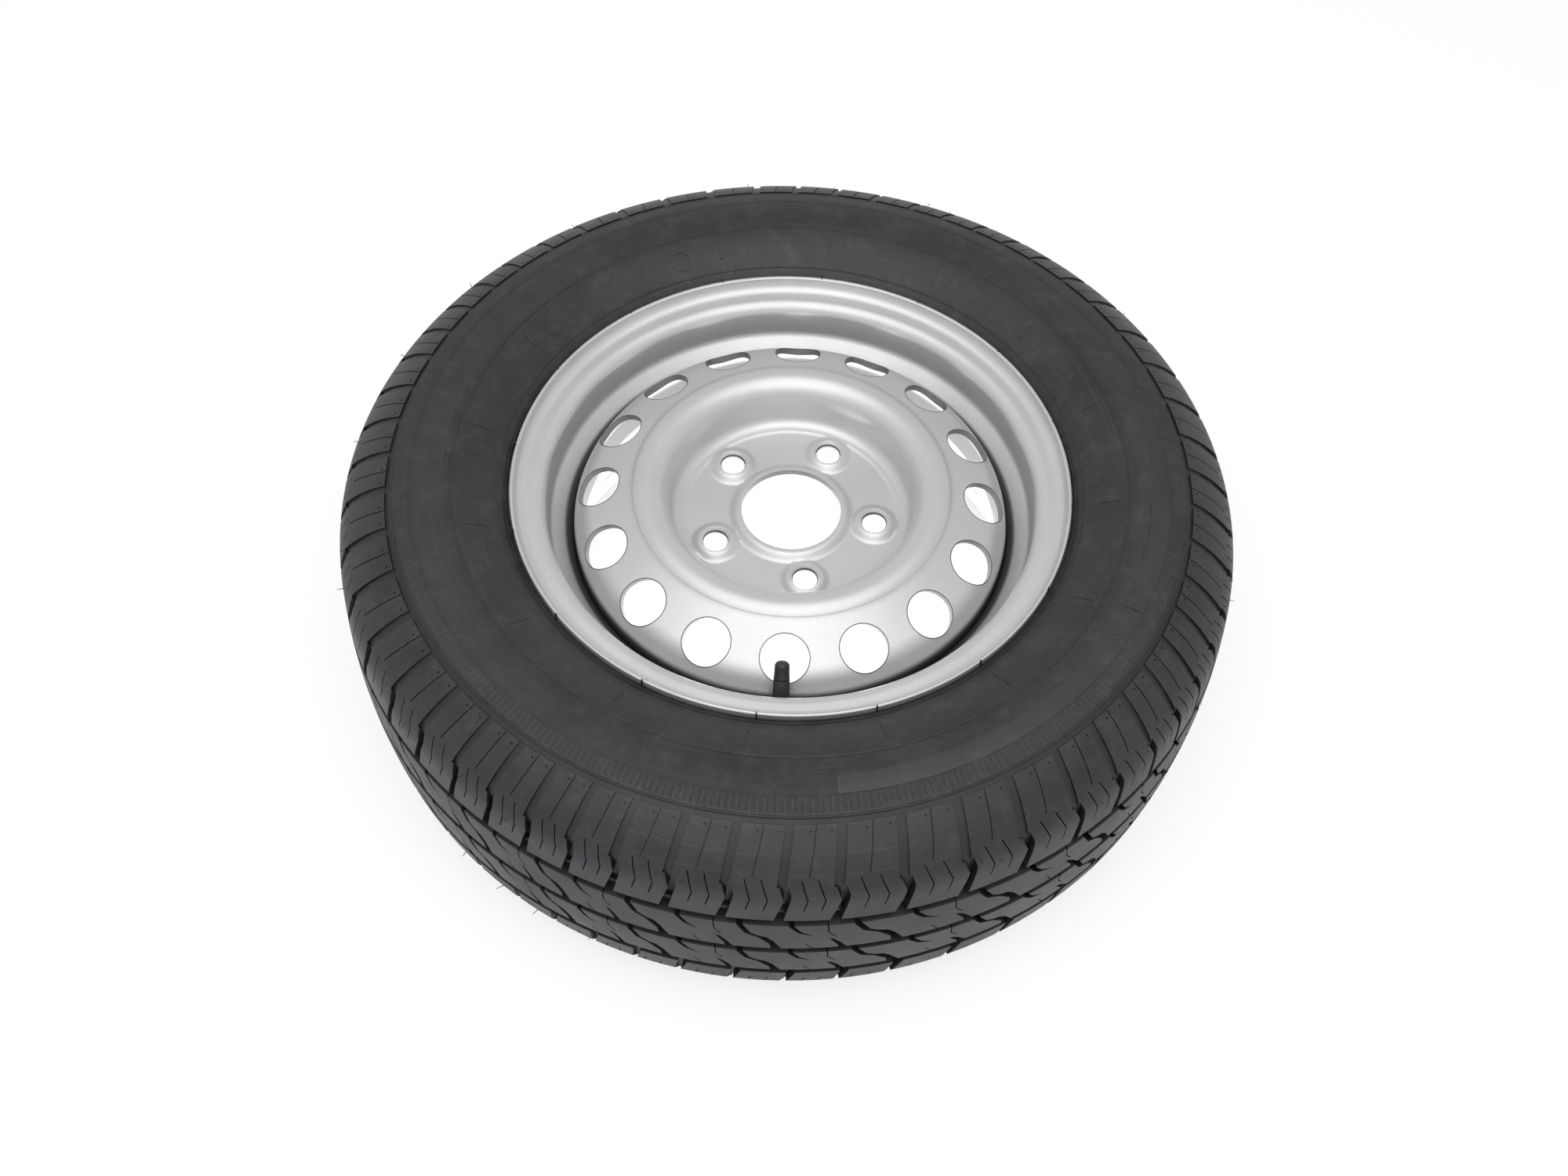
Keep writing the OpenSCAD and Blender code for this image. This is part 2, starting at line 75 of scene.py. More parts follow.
PITCH_S = (90 - 6 * PITCH_M - 4 * PITCH_L) / 4
QUARTER = [PITCH_S] * 4 + [PITCH_M] * 4 + [PITCH_L] * 4 + [PITCH_M] * 2
PATTERN_START, INBOARD_LAG, SLOT_BACK = 229.4, 7.1, 0.98
RIB_EDGE, GROOVE_W = 32.15, 6.5
DEG_W = math.pi * TYRE_R / 180
# Heights at which the skin passes from crown to shoulder and from shoulder to sidewall, and the
# radius beyond which both places lie
CROWN_TOP_Z, SHOULDER_TOP_Z, SHOULDER_FOOT_R = 52.5, 71.2, 270
# Marks that the mould repeats evenly round the tyre, how far raised details reach under the skin,
# and the hatching's lines
MOULD_MARKS, UNDER_SKIN, HATCH_LINES = 16, -0.2, 1500
# Thin blades of the mould: thickness, reach above the skin, and depths of the cuts
BLADE_T, BLADE_TOP, SIPE_DEPTH, LINE_DEPTH = 0.7, 1.5, 3.2, 0.7
# Share of the spew hairs that hasn't broken off
HAIRS_LEFT = 0.14


# Camera at the photograph's angle, found from the bolt circle, vents and rim edge
def turned_about(vector, axis, angle):
    return Matrix.Rotation(angle, 3, axis) @ vector


def set_camera():
    focal_px, distance, rise = 2036.67, 1.06833, 0.91138
    pan, tilt, roll = -0.02549, -0.03776, -0.03846
    width, height, centre_x, centre_y = 2000, 1500, 1058.21, 728.34
    place = Vector((0, -distance * math.cos(rise), distance * math.sin(rise) + 38 * MM))
    ahead = Vector((0, math.cos(rise), -math.sin(rise)))
    right = Vector((1, 0, 0))
    up = right.cross(ahead)
    ahead, right = turned_about(ahead, up, pan), turned_about(right, up, pan)
    ahead, up = turned_about(ahead, right, tilt), turned_about(up, right, tilt)
    right, up = turned_about(right, ahead, roll), turned_about(up, ahead, roll)
    data = bpy.data.cameras.new("photo_camera")
    data.sensor_width = 36
    data.lens = 36 * focal_px / width
    data.shift_x = (width / 2 - centre_x) / width
    data.shift_y = (centre_y - height / 2) / width
    camera = bpy.data.objects.new("photo_camera", data)
    turn = Matrix((right, up, -ahead)).transposed().to_4x4()
    camera.matrix_world = Matrix.Translation(place) @ turn
    scene.collection.objects.link(camera)
    scene.camera = camera


set_camera()


# Node helper and colours
def linear(code):
    parts = [int(code[i:i + 2], 16) / 255 for i in (1, 3, 5)]
    return [p / 12.92 if p <= 0.04045 else ((p + 0.055) / 1.055) ** 2.4 for p in parts] + [1]


def put(tree, kind, settings=None, inputs=None, stops=()):
    """Adds a node with its settings, its inputs' values or links, and a colour ramp's stops."""
    made = tree.nodes.new(kind)
    for key, value in (settings or {}).items():
        setattr(made, key, value)
    for key, value in (inputs or {}).items():
        if isinstance(value, bpy.types.NodeSocket):
            tree.links.new(value, made.inputs[key])
        else:
            made.inputs[key].default_value = value
    for k, (at, colour) in enumerate(stops):
        element = made.color_ramp.elements[k] if k < 2 else made.color_ramp.elements.new(at)
        element.position = at
        element.color = linear(colour)
    return made


def new_surface(name):
    made = bpy.data.materials.new(name)
    made.use_nodes = True
    tree = made.node_tree
    tree.nodes.clear()
    shader = put(tree, "ShaderNodeBsdfPrincipled")
    put(tree, "ShaderNodeOutputMaterial", None, {"Surface": shader.outputs[0]})
    place = put(tree, "ShaderNodeTexCoord").outputs["Object"]
    return made, tree, shader, place


def axle_coordinates(tree, place):
    """A point's distance from the axle, its turn about it, and its height over the wheel's middle."""
    axes = put(tree, "ShaderNodeSeparateXYZ", None, {0: place}).outputs
    flat = put(tree, "ShaderNodeVectorMath", {"operation": "MULTIPLY"}, {
        0: place, 1: (1, 1, 0)}).outputs[0]
    radius = put(tree, "ShaderNodeVectorMath", {"operation": "LENGTH"}, {0: flat}).outputs["Value"]
    turn = put(tree, "ShaderNodeMath", {"operation": "ARCTAN2"}, {
        0: axes["Y"], 1: axes["X"]}).outputs[0]
    return radius, turn, axes["Z"]


def make_tyre_rubber(name, dark, pale, satin, hatch_depth):
    # Carbon-black rubber, moulded and cured: near black, satin where it is clean, with a matt film of
    # grey dust in soft patches
    made, tree, shader, place = new_surface(name)
    patches = put(tree, "ShaderNodeTexNoise", None, {
        "Vector": place, "Scale": 1000 / 45, "Detail": 6, "Roughness": 0.66}).outputs[0]
    colour = put(tree, "ShaderNodeValToRGB", None, {"Fac": patches}, (
        (0.34, dark), (0.68, pale))).outputs[0]
    # Smears of dry dust, 5 to 15 mm across, that handling leaves on the rubber
    smears = put(tree, "ShaderNodeTexNoise", None, {
        "Vector": place, "Scale": 1000 / 15, "Detail": 9, "Roughness": 0.74}).outputs[0]
    smear = put(tree, "ShaderNodeMapRange", None, {
        "Value": smears, "From Min": 0.5, "From Max": 0.74, "To Max": 0.7}).outputs[0]
    colour = put(tree, "ShaderNodeMix", {"data_type": "RGBA"}, {
        0: smear, 6: colour, 7: linear("#424141")}).outputs[2]
    # Dust specks of about 0.8 mm, drawn a little coarser than they are
    specks = put(tree, "ShaderNodeTexNoise", None, {
        "Vector": place, "Scale": 1000 / 0.9, "Detail": 2}).outputs[0]
    speck = put(tree, "ShaderNodeMapRange", None, {
        "Value": specks, "From Min": 0.66, "From Max": 0.8, "To Max": 0.4}).outputs[0]
    colour = put(tree, "ShaderNodeMix", {"data_type": "RGBA"}, {
        0: speck, 6: colour, 7: linear("#77736f")}).outputs[2]
    radius, turn, height = axle_coordinates(tree, place)
    # Concentric scuffs, a millimetre or two wide, from stacking and rolling
    lane = put(tree, "ShaderNodeMath", {"operation": "MULTIPLY"}, {
        0: radius, 1: 1000 / 1.5}).outputs[0]
    track = put(tree, "ShaderNodeCombineXYZ", None, {"X": lane, "Y": turn}).outputs[0]
    scuffs = put(tree, "ShaderNodeTexNoise", None, {
        "Vector": track, "Scale": 1, "Detail": 4, "Roughness": 0.6}).outputs[0]
    scuff = put(tree, "ShaderNodeMapRange", None, {
        "Value": scuffs, "From Min": 0.55, "From Max": 0.72, "To Max": 0.4}).outputs[0]
    colour = put(tree, "ShaderNodeMix", {"data_type": "RGBA"}, {
        0: scuff, 6: colour, 7: linear("#434242")}).outputs[2]
    height = put(tree, "ShaderNodeMath", {"operation": "ABSOLUTE"}, {0: height}).outputs[0]
    section = put(tree, "ShaderNodeCombineXYZ", None, {"X": radius, "Y": height}).outputs[0]
    # Depth under the skin, from the arc that the skin follows at this height
    depths = []
    for (centre_r, centre_z), skin_r in (CROWN, SHOULDER, UPPER_WALL):
        away = put(tree, "ShaderNodeVectorMath", {"operation": "DISTANCE"}, {
            0: section, 1: (centre_r * MM, centre_z * MM, 0)}).outputs["Value"]
        depths.append(put(tree, "ShaderNodeMath", {"operation": "SUBTRACT"}, {
            0: skin_r * MM, 1: away}).outputs[0])
    depth = depths[0]
    for limit, deeper in ((CROWN_TOP_Z, depths[1]), (SHOULDER_TOP_Z, depths[2])):
        beyond = put(tree, "ShaderNodeMath", {"operation": "GREATER_THAN"}, {
            0: height, 1: limit * MM}).outputs[0]
        depth = put(tree, "ShaderNodeMix", None, {0: beyond, 2: depth, 3: deeper}).outputs[0]
    # The sidewall inside this radius has no cuts
    outer = put(tree, "ShaderNodeMath", {"operation": "GREATER_THAN"}, {
        0: radius, 1: 250 * MM}).outputs[0]
    depth = put(tree, "ShaderNodeMath", {"operation": "MULTIPLY"}, {0: depth, 1: outer}).outputs[0]
    # The tread's face is drawn a little lighter and bluish: the mould's release film, and a painted
    # sheen in place of gloss
    tread = put(tree, "ShaderNodeMapRange", None, {
        "Value": radius, "From Min": 287 * MM, "From Max": 290 * MM, "To Max": 0.7}).outputs[0]
    colour = put(tree, "ShaderNodeMix", {"data_type": "RGBA"}, {
        0: tread, 6: colour, 7: linear("#333238")}).outputs[2]
    # Painted shade: the floors of grooves and slots are darkened the deeper they lie under the skin
    for low, high, most, shade in ((0.2, 0.7, 0.7, "#111111"), (1.5, 6, 0.8, "#0c0c0d")):
        deep = put(tree, "ShaderNodeMapRange", None, {
            "Value": depth, "From Min": low * MM, "From Max": high * MM, "To Max": most}).outputs[0]
        colour = put(tree, "ShaderNodeMix", {"data_type": "RGBA"}, {
            0: deep, 6: colour, 7: linear(shade)}).outputs[2]
    # Traces of teal marking paint, a few millimetres long, that stay down in the grooves
    stain = put(tree, "ShaderNodeTexNoise", None, {
        "Vector": place, "Scale": 1000 / 12, "Detail": 2, "Roughness": 0.7}).outputs[0]
    stain = put(tree, "ShaderNodeMapRange", None, {
        "Value": stain, "From Min": 0.66, "From Max": 0.71, "To Max": 0.6}).outputs[0]
    for low, high in ((4 * MM, 5.5 * MM), (11 * MM, 9.5 * MM)):
        limit = put(tree, "ShaderNodeMapRange", None, {
            "Value": depth, "From Min": low, "From Max": high}).outputs[0]
        stain = put(tree, "ShaderNodeMath", {"operation": "MULTIPLY"}, {0: stain, 1: limit}).outputs[0]
    colour = put(tree, "ShaderNodeMix", {"data_type": "RGBA"}, {
        0: stain, 6: colour, 7: linear("#1d4c4a")}).outputs[2]
    tree.links.new(colour, shader.inputs["Base Color"])
    rough = put(tree, "ShaderNodeMapRange", None, {
        "Value": patches, "From Min": 0.3, "From Max": 0.7,
        "To Min": satin, "To Max": satin + 0.16}).outputs[0]
    tree.links.new(rough, shader.inputs["Roughness"])
    shader.inputs["IOR"].default_value = 1.52
    # Mould grain of about 0.7 mm, which breaks up the sheen
    grain = put(tree, "ShaderNodeTexNoise", None, {
        "Vector": place, "Scale": 1000 / 0.7, "Detail": 2, "Roughness": 0.6}).outputs[0]
    # Fine radial hatching of the mould, a millimetre apart, on the band that carries the marks
    turn = put(tree, "ShaderNodeMath", {"operation": "MULTIPLY"}, {0: turn, 1: HATCH_LINES}).outputs[0]
    hatch = put(tree, "ShaderNodeMath", {"operation": "SINE"}, {0: turn}).outputs[0]
    for low, high in ((221.5, 222), (251.5, 251)):
        limit = put(tree, "ShaderNodeMapRange", None, {
            "Value": radius, "From Min": low * MM, "From Max": high * MM}).outputs[0]
        hatch = put(tree, "ShaderNodeMath", {"operation": "MULTIPLY"}, {0: hatch, 1: limit}).outputs[0]
    relief = put(tree, "ShaderNodeMath", {"operation": "MULTIPLY_ADD"}, {
        0: hatch, 1: hatch_depth, 2: grain}).outputs[0]
    bump = put(tree, "ShaderNodeBump", None, {"Height": relief, "Distance": 0.06 * MM}).outputs[0]
    tree.links.new(bump, shader.inputs["Normal"])
    return made


def make_silver_paint():
    # Steel sheet, stove-enamelled in silver metallic: an even light grey whose fine aluminium flakes
    # brighten it softly where it faces the light, under a satin lacquer
    made, tree, shader, place = new_surface("silver_metallic_enamel")
    clouds = put(tree, "ShaderNodeTexNoise", None, {
        "Vector": place, "Scale": 1000 / 40, "Detail": 3}).outputs[0]
    colour = put(tree, "ShaderNodeValToRGB", None, {"Fac": clouds}, (
        (0.3, "#cfcece"), (0.7, "#d4d3d3"))).outputs[0]
    # Flakes are far finer than 0.5 mm: this is the coarsest cluster of them that shows, and its
    # brightest cells are lightened as painted glints
    flakes = put(tree, "ShaderNodeTexVoronoi", None, {
        "Vector": place, "Scale": 1000 / 0.5}).outputs["Color"]
    flake = put(tree, "ShaderNodeSeparateColor", None, {"Color": flakes}).outputs
    glint = put(tree, "ShaderNodeMapRange", None, {
        "Value": flake[0], "From Min": 0.93, "From Max": 1, "To Max": 0.45}).outputs[0]
    colour = put(tree, "ShaderNodeMix", {"data_type": "RGBA"}, {
        0: glint, 6: colour, 7: linear("#f0f0ee")}).outputs[2]
    # The bore's wall is coloured a dull dark grey
    radius, turn, height = axle_coordinates(tree, place)
    darkened = put(tree, "ShaderNodeMath", {"operation": "LESS_THAN"}, {
        0: radius, 1: (BORE_R + 0.15) * MM}).outputs[0]
    colour = put(tree, "ShaderNodeMix", {"data_type": "RGBA"}, {
        0: darkened, 6: colour, 7: linear("#4a4846")}).outputs[2]
    # Painted shade in the narrow valley between disc and rim, on the side that shows: darker towards
    # the valley's bottom
    valley_shade = put(tree, "ShaderNodeMapRange", {"interpolation_type": "SMOOTHSTEP"}, {
        "Value": height, "From Min": 40 * MM, "From Max": 33 * MM, "To Max": 0.85}).outputs[0]
    for low, high in ((137, 139), (151, 149)):
        limit = put(tree, "ShaderNodeMapRange", None, {
            "Value": radius, "From Min": low * MM, "From Max": high * MM}).outputs[0]
        valley_shade = put(tree, "ShaderNodeMath", {"operation": "MULTIPLY"}, {0: valley_shade, 1: limit}).outputs[0]
    upper = put(tree, "ShaderNodeMapRange", None, {
        "Value": height, "From Min": 12 * MM, "From Max": 16 * MM}).outputs[0]
    valley_shade = put(tree, "ShaderNodeMath", {"operation": "MULTIPLY"}, {0: valley_shade, 1: upper}).outputs[0]
    colour = put(tree, "ShaderNodeMix", {"data_type": "RGBA"}, {
        0: valley_shade, 6: colour, 7: linear("#35332f")}).outputs[2]
    # Vents and bolt holes are punched before painting: their walls are drawn a darker grey, and a ring
    # of painted shade, under a millimetre wide, runs dark round each hole's edge
    for count, start, circle, level, slope, hole_r in (
            (VENTS, VENT_START, VENT_CIRCLE, VENT_Z, math.radians(BAND_SLOPE), VENT_R),
            (BOLTS, BOLT_START, BOLT_CIRCLE / 2, 0, 0, BOLT_R)):
        # Distance from the nearest hole's axis, with all holes folded onto one
        fold = put(tree, "ShaderNodeMath", {"operation": "SUBTRACT"}, {
            0: turn, 1: math.radians(start)}).outputs[0]
        fold = put(tree, "ShaderNodeMath", {"operation": "WRAP"}, {
            0: fold, 1: math.pi / count, 2: -math.pi / count}).outputs[0]
        sine = put(tree, "ShaderNodeMath", {"operation": "SINE"}, {0: fold}).outputs[0]
        cosine = put(tree, "ShaderNodeMath", {"operation": "COSINE"}, {0: fold}).outputs[0]
        across = put(tree, "ShaderNodeMath", {"operation": "MULTIPLY"}, {
            0: radius, 1: sine}).outputs[0]
        outward = put(tree, "ShaderNodeMath", {"operation": "MULTIPLY_ADD"}, {
            0: radius, 1: cosine, 2: -circle * MM}).outputs[0]
        outward = put(tree, "ShaderNodeMath", {"operation": "MULTIPLY"}, {
            0: outward, 1: math.cos(slope)}).outputs[0]
        lifted = put(tree, "ShaderNodeMath", {"operation": "SUBTRACT"}, {
            0: height, 1: level * MM}).outputs[0]
        outward = put(tree, "ShaderNodeMath", {"operation": "MULTIPLY_ADD"}, {
            0: lifted, 1: -math.sin(slope), 2: outward}).outputs[0]
        spot = put(tree, "ShaderNodeCombineXYZ", None, {"X": outward, "Y": across}).outputs[0]
        gap = put(tree, "ShaderNodeVectorMath", {"operation": "LENGTH"}, {0: spot}).outputs["Value"]
        for reach, shade in ((0.75, "#363433"), (0.06, "#6b6967")):
            darkened = put(tree, "ShaderNodeMapRange", None, {
                "Value": gap, "From Min": (hole_r + reach) * MM,
                "From Max": (hole_r + reach / 2) * MM}).outputs[0]
            colour = put(tree, "ShaderNodeMix", {"data_type": "RGBA"}, {
                0: darkened, 6: colour, 7: linear(shade)}).outputs[2]
    tree.links.new(colour, shader.inputs["Base Color"])
    shader.inputs["Metallic"].default_value = 0.65
    rough = put(tree, "ShaderNodeMapRange", None, {
        "Value": flake[1], "To Min": 0.43, "To Max": 0.51}).outputs[0]
    tree.links.new(rough, shader.inputs["Roughness"])
    shader.inputs["Coat Weight"].default_value = 0.2
    shader.inputs["Coat Roughness"].default_value = 0.3
    # Orange peel with a period of about 3 mm
    peel = put(tree, "ShaderNodeTexNoise", None, {
        "Vector": place, "Scale": 1000 / 3, "Detail": 1, "Roughness": 0.4}).outputs[0]
    bump = put(tree, "ShaderNodeBump", None, {"Height": peel, "Distance": 0.015 * MM}).outputs[0]
    tree.links.new(bump, shader.inputs["Normal"])
    return made


def make_moulded(name, dark, pale, satin, grain_mm, ior):
    made, tree, shader, place = new_surface(name)
    patches = put(tree, "ShaderNodeTexNoise", None, {
        "Vector": place, "Scale": 1000 / 6, "Detail": 3}).outputs[0]
    colour = put(tree, "ShaderNodeValToRGB", None, {"Fac": patches}, (
        (0.35, dark), (0.7, pale))).outputs[0]
    tree.links.new(colour, shader.inputs["Base Color"])
    rough = put(tree, "ShaderNodeMapRange", None, {
        "Value": patches, "From Min": 0.3, "From Max": 0.7,
        "To Min": satin - 0.06, "To Max": satin + 0.08}).outputs[0]
    tree.links.new(rough, shader.inputs["Roughness"])
    shader.inputs["IOR"].default_value = ior
    grain = put(tree, "ShaderNodeTexNoise", None, {
        "Vector": place, "Scale": 1000 / grain_mm, "Detail": 2}).outputs[0]
    bump = put(tree, "ShaderNodeBump", None, {"Height": grain, "Distance": 0.015 * MM}).outputs[0]
    tree.links.new(bump, shader.inputs["Normal"])
    return made


def make_turned_metal(name, dark, pale, polish, ring_mm):
    # Turned or drawn metal: fine rings round the valve's axis, drawn at their real feed
    made, tree, shader, place = new_surface(name)
    tint = put(tree, "ShaderNodeTexNoise", None, {
        "Vector": place, "Scale": 1000 / 4, "Detail": 2}).outputs[0]
    colour = put(tree, "ShaderNodeValToRGB", None, {"Fac": tint}, (
        (0.35, dark), (0.7, pale))).outputs[0]
    tree.links.new(colour, shader.inputs["Base Color"])
    shader.inputs["Metallic"].default_value = 1
    rough = put(tree, "ShaderNodeMapRange", None, {
        "Value": tint, "From Min": 0.3, "From Max": 0.7,
        "To Min": polish - 0.05, "To Max": polish + 0.07}).outputs[0]
    tree.links.new(rough, shader.inputs["Roughness"])
    lean = (math.radians(-VALVE_TILT), 0, math.radians(VALVE_AZ - 270))
    along = put(tree, "ShaderNodeMapping", {"vector_type": "TEXTURE"}, {
        "Vector": place, "Rotation": lean}).outputs[0]
    # A wave texture repeats about every twentieth of its scale
    rings = put(tree, "ShaderNodeTexWave", {"bands_direction": "Z"}, {
        "Vector": along, "Scale": 1000 / ring_mm / 20, "Distortion": 0.4}).outputs[1]
    bump = put(tree, "ShaderNodeBump", None, {"Height": rings, "Distance": 0.01 * MM}).outputs[0]
    tree.links.new(bump, shader.inputs["Normal"])
    return made


tyre_rubber = make_tyre_rubber("cured_tyre_rubber", "#181818", "#2c2b2b", 0.44, 0.8)
# The same rubber where the mould was polished: smoother than the grained walls, and a little greyer as
# a painted sheen
polished_sheen_rubber = make_tyre_rubber("cured_tyre_rubber_polished_sheen", "#292929", "#343333", 0.36, 0)
silver_paint = make_silver_paint()
# Natural rubber compound, moulded: softer sheen than the tyre
valve_rubber = make_moulded("moulded_valve_rubber", "#202020", "#2b2b2b", 0.48, 0.5, 1.52)
# Black polyamide, injection moulded: satin with a faint grain
cap_plastic = make_moulded("moulded_black_polyamide", "#1b1b1b", "#242424", 0.42, 0.35, 1.53)
# Silicone and nitrile seals: brick red, matt
seal_rubber = make_moulded("moulded_seal_rubber", "#5a1f1c", "#6d2a25", 0.55, 0.3, 1.45)
# Leaded brass, turned: warm yellow with fine rings
brass = make_turned_metal("turned_brass", "#c9a45c", "#d8b674", 0.28, 0.3)
# Spring steel wire, drawn: bright and smooth
spring_wire = make_turned_metal("drawn_steel_wire", "#b9bbbd", "#c8cacc", 0.25, 0.2)


# Shape helpers: outlines are lists of (radius, height) in millimetres
def arc(circle, start, end, step=2.5):
    (cx, cy), radius = circle
    count = max(2, math.ceil(abs(end - start) / step))
    angles = [math.radians(start + (end - start) * i / count) for i in range(count + 1)]
    return [(cx + radius * math.cos(a), cy + radius * math.sin(a)) for a in angles]


def flipped(path):
    return [(r, -z) for r, z in path]


def close_steps(path, spacing):
    made = [path[0]]
    for (r0, z0), (r1, z1) in zip(path, path[1:]):
        count = max(1, math.ceil(math.hypot(r1 - r0, z1 - z0) / spacing))
        made += [(r0 + (r1 - r0) * i / count, z0 + (z1 - z0) * i / count) for i in range(1, count + 1)]
    return made


def other_side(path, thick):
    """The path moved to its right by a sheet's thickness."""
    points = np.array(path, float)
    along = np.diff(points, axis=0)
    along /= np.linalg.norm(along, axis=1)[:, None]
    right = np.stack([along[:, 1], -along[:, 0]], 1)
    before, after = np.vstack([right[:1], right]), np.vstack([right, right[-1:]])
    mitre = (before + after) / (1 + (before * after).sum(1))[:, None]
    return [tuple(p) for p in points + thick * mitre]


def rounded_edge(near, far):
    """Half a turn from one side of the sheet to the other, on the left of near to far."""
    near, far = np.array(near), np.array(far)
    middle, across = (near + far) / 2, (near - far) / 2
    out = np.array([-across[1], across[0]])
    turns = np.radians([30, 60, 90, 120, 150])
    return [tuple(middle + across * math.cos(a) + out * math.sin(a)) for a in turns]


def sheet_outline(path, thick, other=None):
    """The outline of a sheet on the right of a path, with rounded ends."""
    other = other or other_side(path, thick)
    return path + rounded_edge(path[-1], other[-1]) + other[::-1] + rounded_edge(other[0], path[0])


def turned(outline, sides=256, sweep=360, start=0):
    """A closed outline spun about the axle; a part turn gets its two end faces."""
    bm = bmesh.new()
    turn = Matrix.Rotation(math.radians(start), 3, "Z")
    verts = [bm.verts.new(turn @ Vector((r * MM, 0, z * MM))) for r, z in outline]
    edges = [bm.edges.new(pair) for pair in zip(verts, verts[1:] + verts[:1])]
    whole = sweep == 360
    made = bmesh.ops.spin(
        bm, geom=verts + edges, cent=(0, 0, 0), axis=(0, 0, 1), dvec=(0, 0, 0),
        angle=math.radians(sweep), steps=sides, use_merge=whole, use_duplicate=False)
    if not whole:
        last = [g for g in made["geom_last"] if isinstance(g, bmesh.types.BMVert)]
        bm.faces.new(verts)
        # The end face takes its corners in the outline's order
        corners = [turned_z(vert.co, sweep) for vert in verts]
        bm.faces.new(sorted(last, key=lambda vert: min(
            range(len(corners)), key=lambda i: (vert.co - corners[i]).length)))
    bmesh.ops.remove_doubles(bm, verts=bm.verts, dist=1e-6)
    bmesh.ops.recalc_face_normals(bm, faces=bm.faces)
    return bm


def turned_z(vector, degrees):
    return Matrix.Rotation(math.radians(degrees), 3, "Z") @ vector


def add_piece(name, bm, material, body, replaces=(), crease=30):
    data = bpy.data.meshes.new(name)
    bm.to_mesh(data)
    bm.free()
    return add_object(name, data, material, body, replaces, crease)


def add_object(name, data, material, body, replaces=(), crease=30):
    data.materials.clear()
    data.materials.append(material)
    data.shade_smooth()
    data.set_sharp_from_angle(angle=math.radians(crease))
    piece = bpy.data.objects.new(name, data)
    scene.collection.objects.link(piece)
    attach(piece, body)
    if replaces:
        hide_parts(*replaces)
    return piece


def cut(piece, bm):
    """A piece's mesh with the solids in bm taken out."""
    data = bpy.data.meshes.new("cutter")
    bm.to_mesh(data)
    bm.free()
    cutter = bpy.data.objects.new("cutter", data)
    scene.collection.objects.link(cutter)
    modifier = piece.modifiers.new("cut", "BOOLEAN")
    modifier.operation = "DIFFERENCE"
    modifier.solver = "EXACT"
    modifier.object = cutter
    graph = bpy.context.evaluated_depsgraph_get()
    made = bpy.data.meshes.new_from_object(piece.evaluated_get(graph))
    piece.modifiers.clear()
    bpy.data.objects.remove(cutter)
    bpy.data.meshes.remove(data)
    return made


def punch(piece, bm, material):
    """Takes the solids in bm out of a piece for good."""
    made = cut(piece, bm)
    made.materials.clear()
    made.materials.append(material)
    piece.data = made


# Tyre skin: its outline from the rim to the middle of the tread, measured along the rubber
SKIN = (arc(LOWER_WALL, WALL_END, WALL_TOP, 1.5) + arc(UPPER_WALL, WALL_TOP, SHOULDER_END, 1.5)[1:]
        + arc(SHOULDER, SHOULDER_END, CROWN_END, 1.5)[1:] + arc(CROWN, CROWN_END, 0, 0.4)[1:])
SKIN_AT = np.concatenate([[0], np.cumsum(np.hypot(*np.diff(np.array(SKIN), axis=0).T))])
SKIN_AT += S_AT_WIDEST - SKIN_AT[len(arc(LOWER_WALL, WALL_END, WALL_TOP, 1.5)) - 1]


def on_skin(s, proud=0.0):
    """(radius, height) at a distance s along the skin, raised by proud."""
    r, z = (float(np.interp(s, SKIN_AT, [p[i] for p in SKIN])) for i in (0, 1))
    nr, nz = skin_normal(r, z)
    return r + nr * proud, z + nz * proud


def skin_normal(r, z):
    side = 1 if z >= 0 else -1
    z = abs(z)
    if z < CROWN_TOP_Z and r > SHOULDER_FOOT_R:
        circle = CROWN
    elif z < SHOULDER_TOP_Z and r > SHOULDER_FOOT_R:
        circle = SHOULDER
    elif r > WIDEST_R:
        circle = UPPER_WALL
    else:
        circle = LOWER_WALL
    cx, cy = circle[0]
    away = Vector((r - cx, z - cy)).normalized()
    return away.x, away.y * side


def at_skin(s, azimuth, proud=0.0, inboard=False):
    r, z = on_skin(s, proud)
    a = math.radians(azimuth)
    return Vector((r * math.cos(a), r * math.sin(a), -z if inboard else z)) * MM


def on_surface(point, outward, turn=0.0):
    """A placing matrix at a point with its Z axis pointing outward."""
    tilt = Vector((0, 0, 1)).rotation_difference(outward).to_matrix().to_4x4()
    return Matrix.Translation(point) @ tilt @ Matrix.Rotation(turn, 4, "Z")


def outward_at(s, azimuth, inboard=False):
    r, z = on_skin(s)
    nr, nz = skin_normal(r, z)
    a = math.radians(azimuth)
    return Vector((nr * math.cos(a), nr * math.sin(a), -nz if inboard else nz))


def pitch_starts():
    """Azimuth and length in degrees of each repeat of the tread pattern."""
    starts, azimuth = [], PATTERN_START
    for k in range(4 * len(QUARTER)):
        starts.append((azimuth, QUARTER[k % len(QUARTER)]))
        azimuth += QUARTER[k % len(QUARTER)]
    return starts


def both_sides(start, pitch):
    """Side, first azimuth and stretch of one repeat; the inboard side is turned and runs back."""
    grow = pitch / PITCH_M
    yield False, start, grow
    yield True, start + INBOARD_LAG, -grow


# Thin cuts in the tread: each is a ribbon through the skin, thickened to a blade. Points are degrees
# round the wheel and millimetres along the skin, and on the ribs millimetres round and down
SHOULDER_SIPES = [[(1.85, 110.5), (2.61, 124), (2.17, 134)], [(3.76, 110.5), (4.57, 124), (4.13, 134)]]
MID_LINE = [(3.85, 80), (3.4, 95), (2.89, 108.5)]
VENT_PITS = [(3.04, 83.5), (5.59, 83.5)]
RIB_SIPES = [[(-1.4, -1), (-0.9, 8), (3.1, 14.5)], [(-13.2, 22), (-8.7, 30)]]


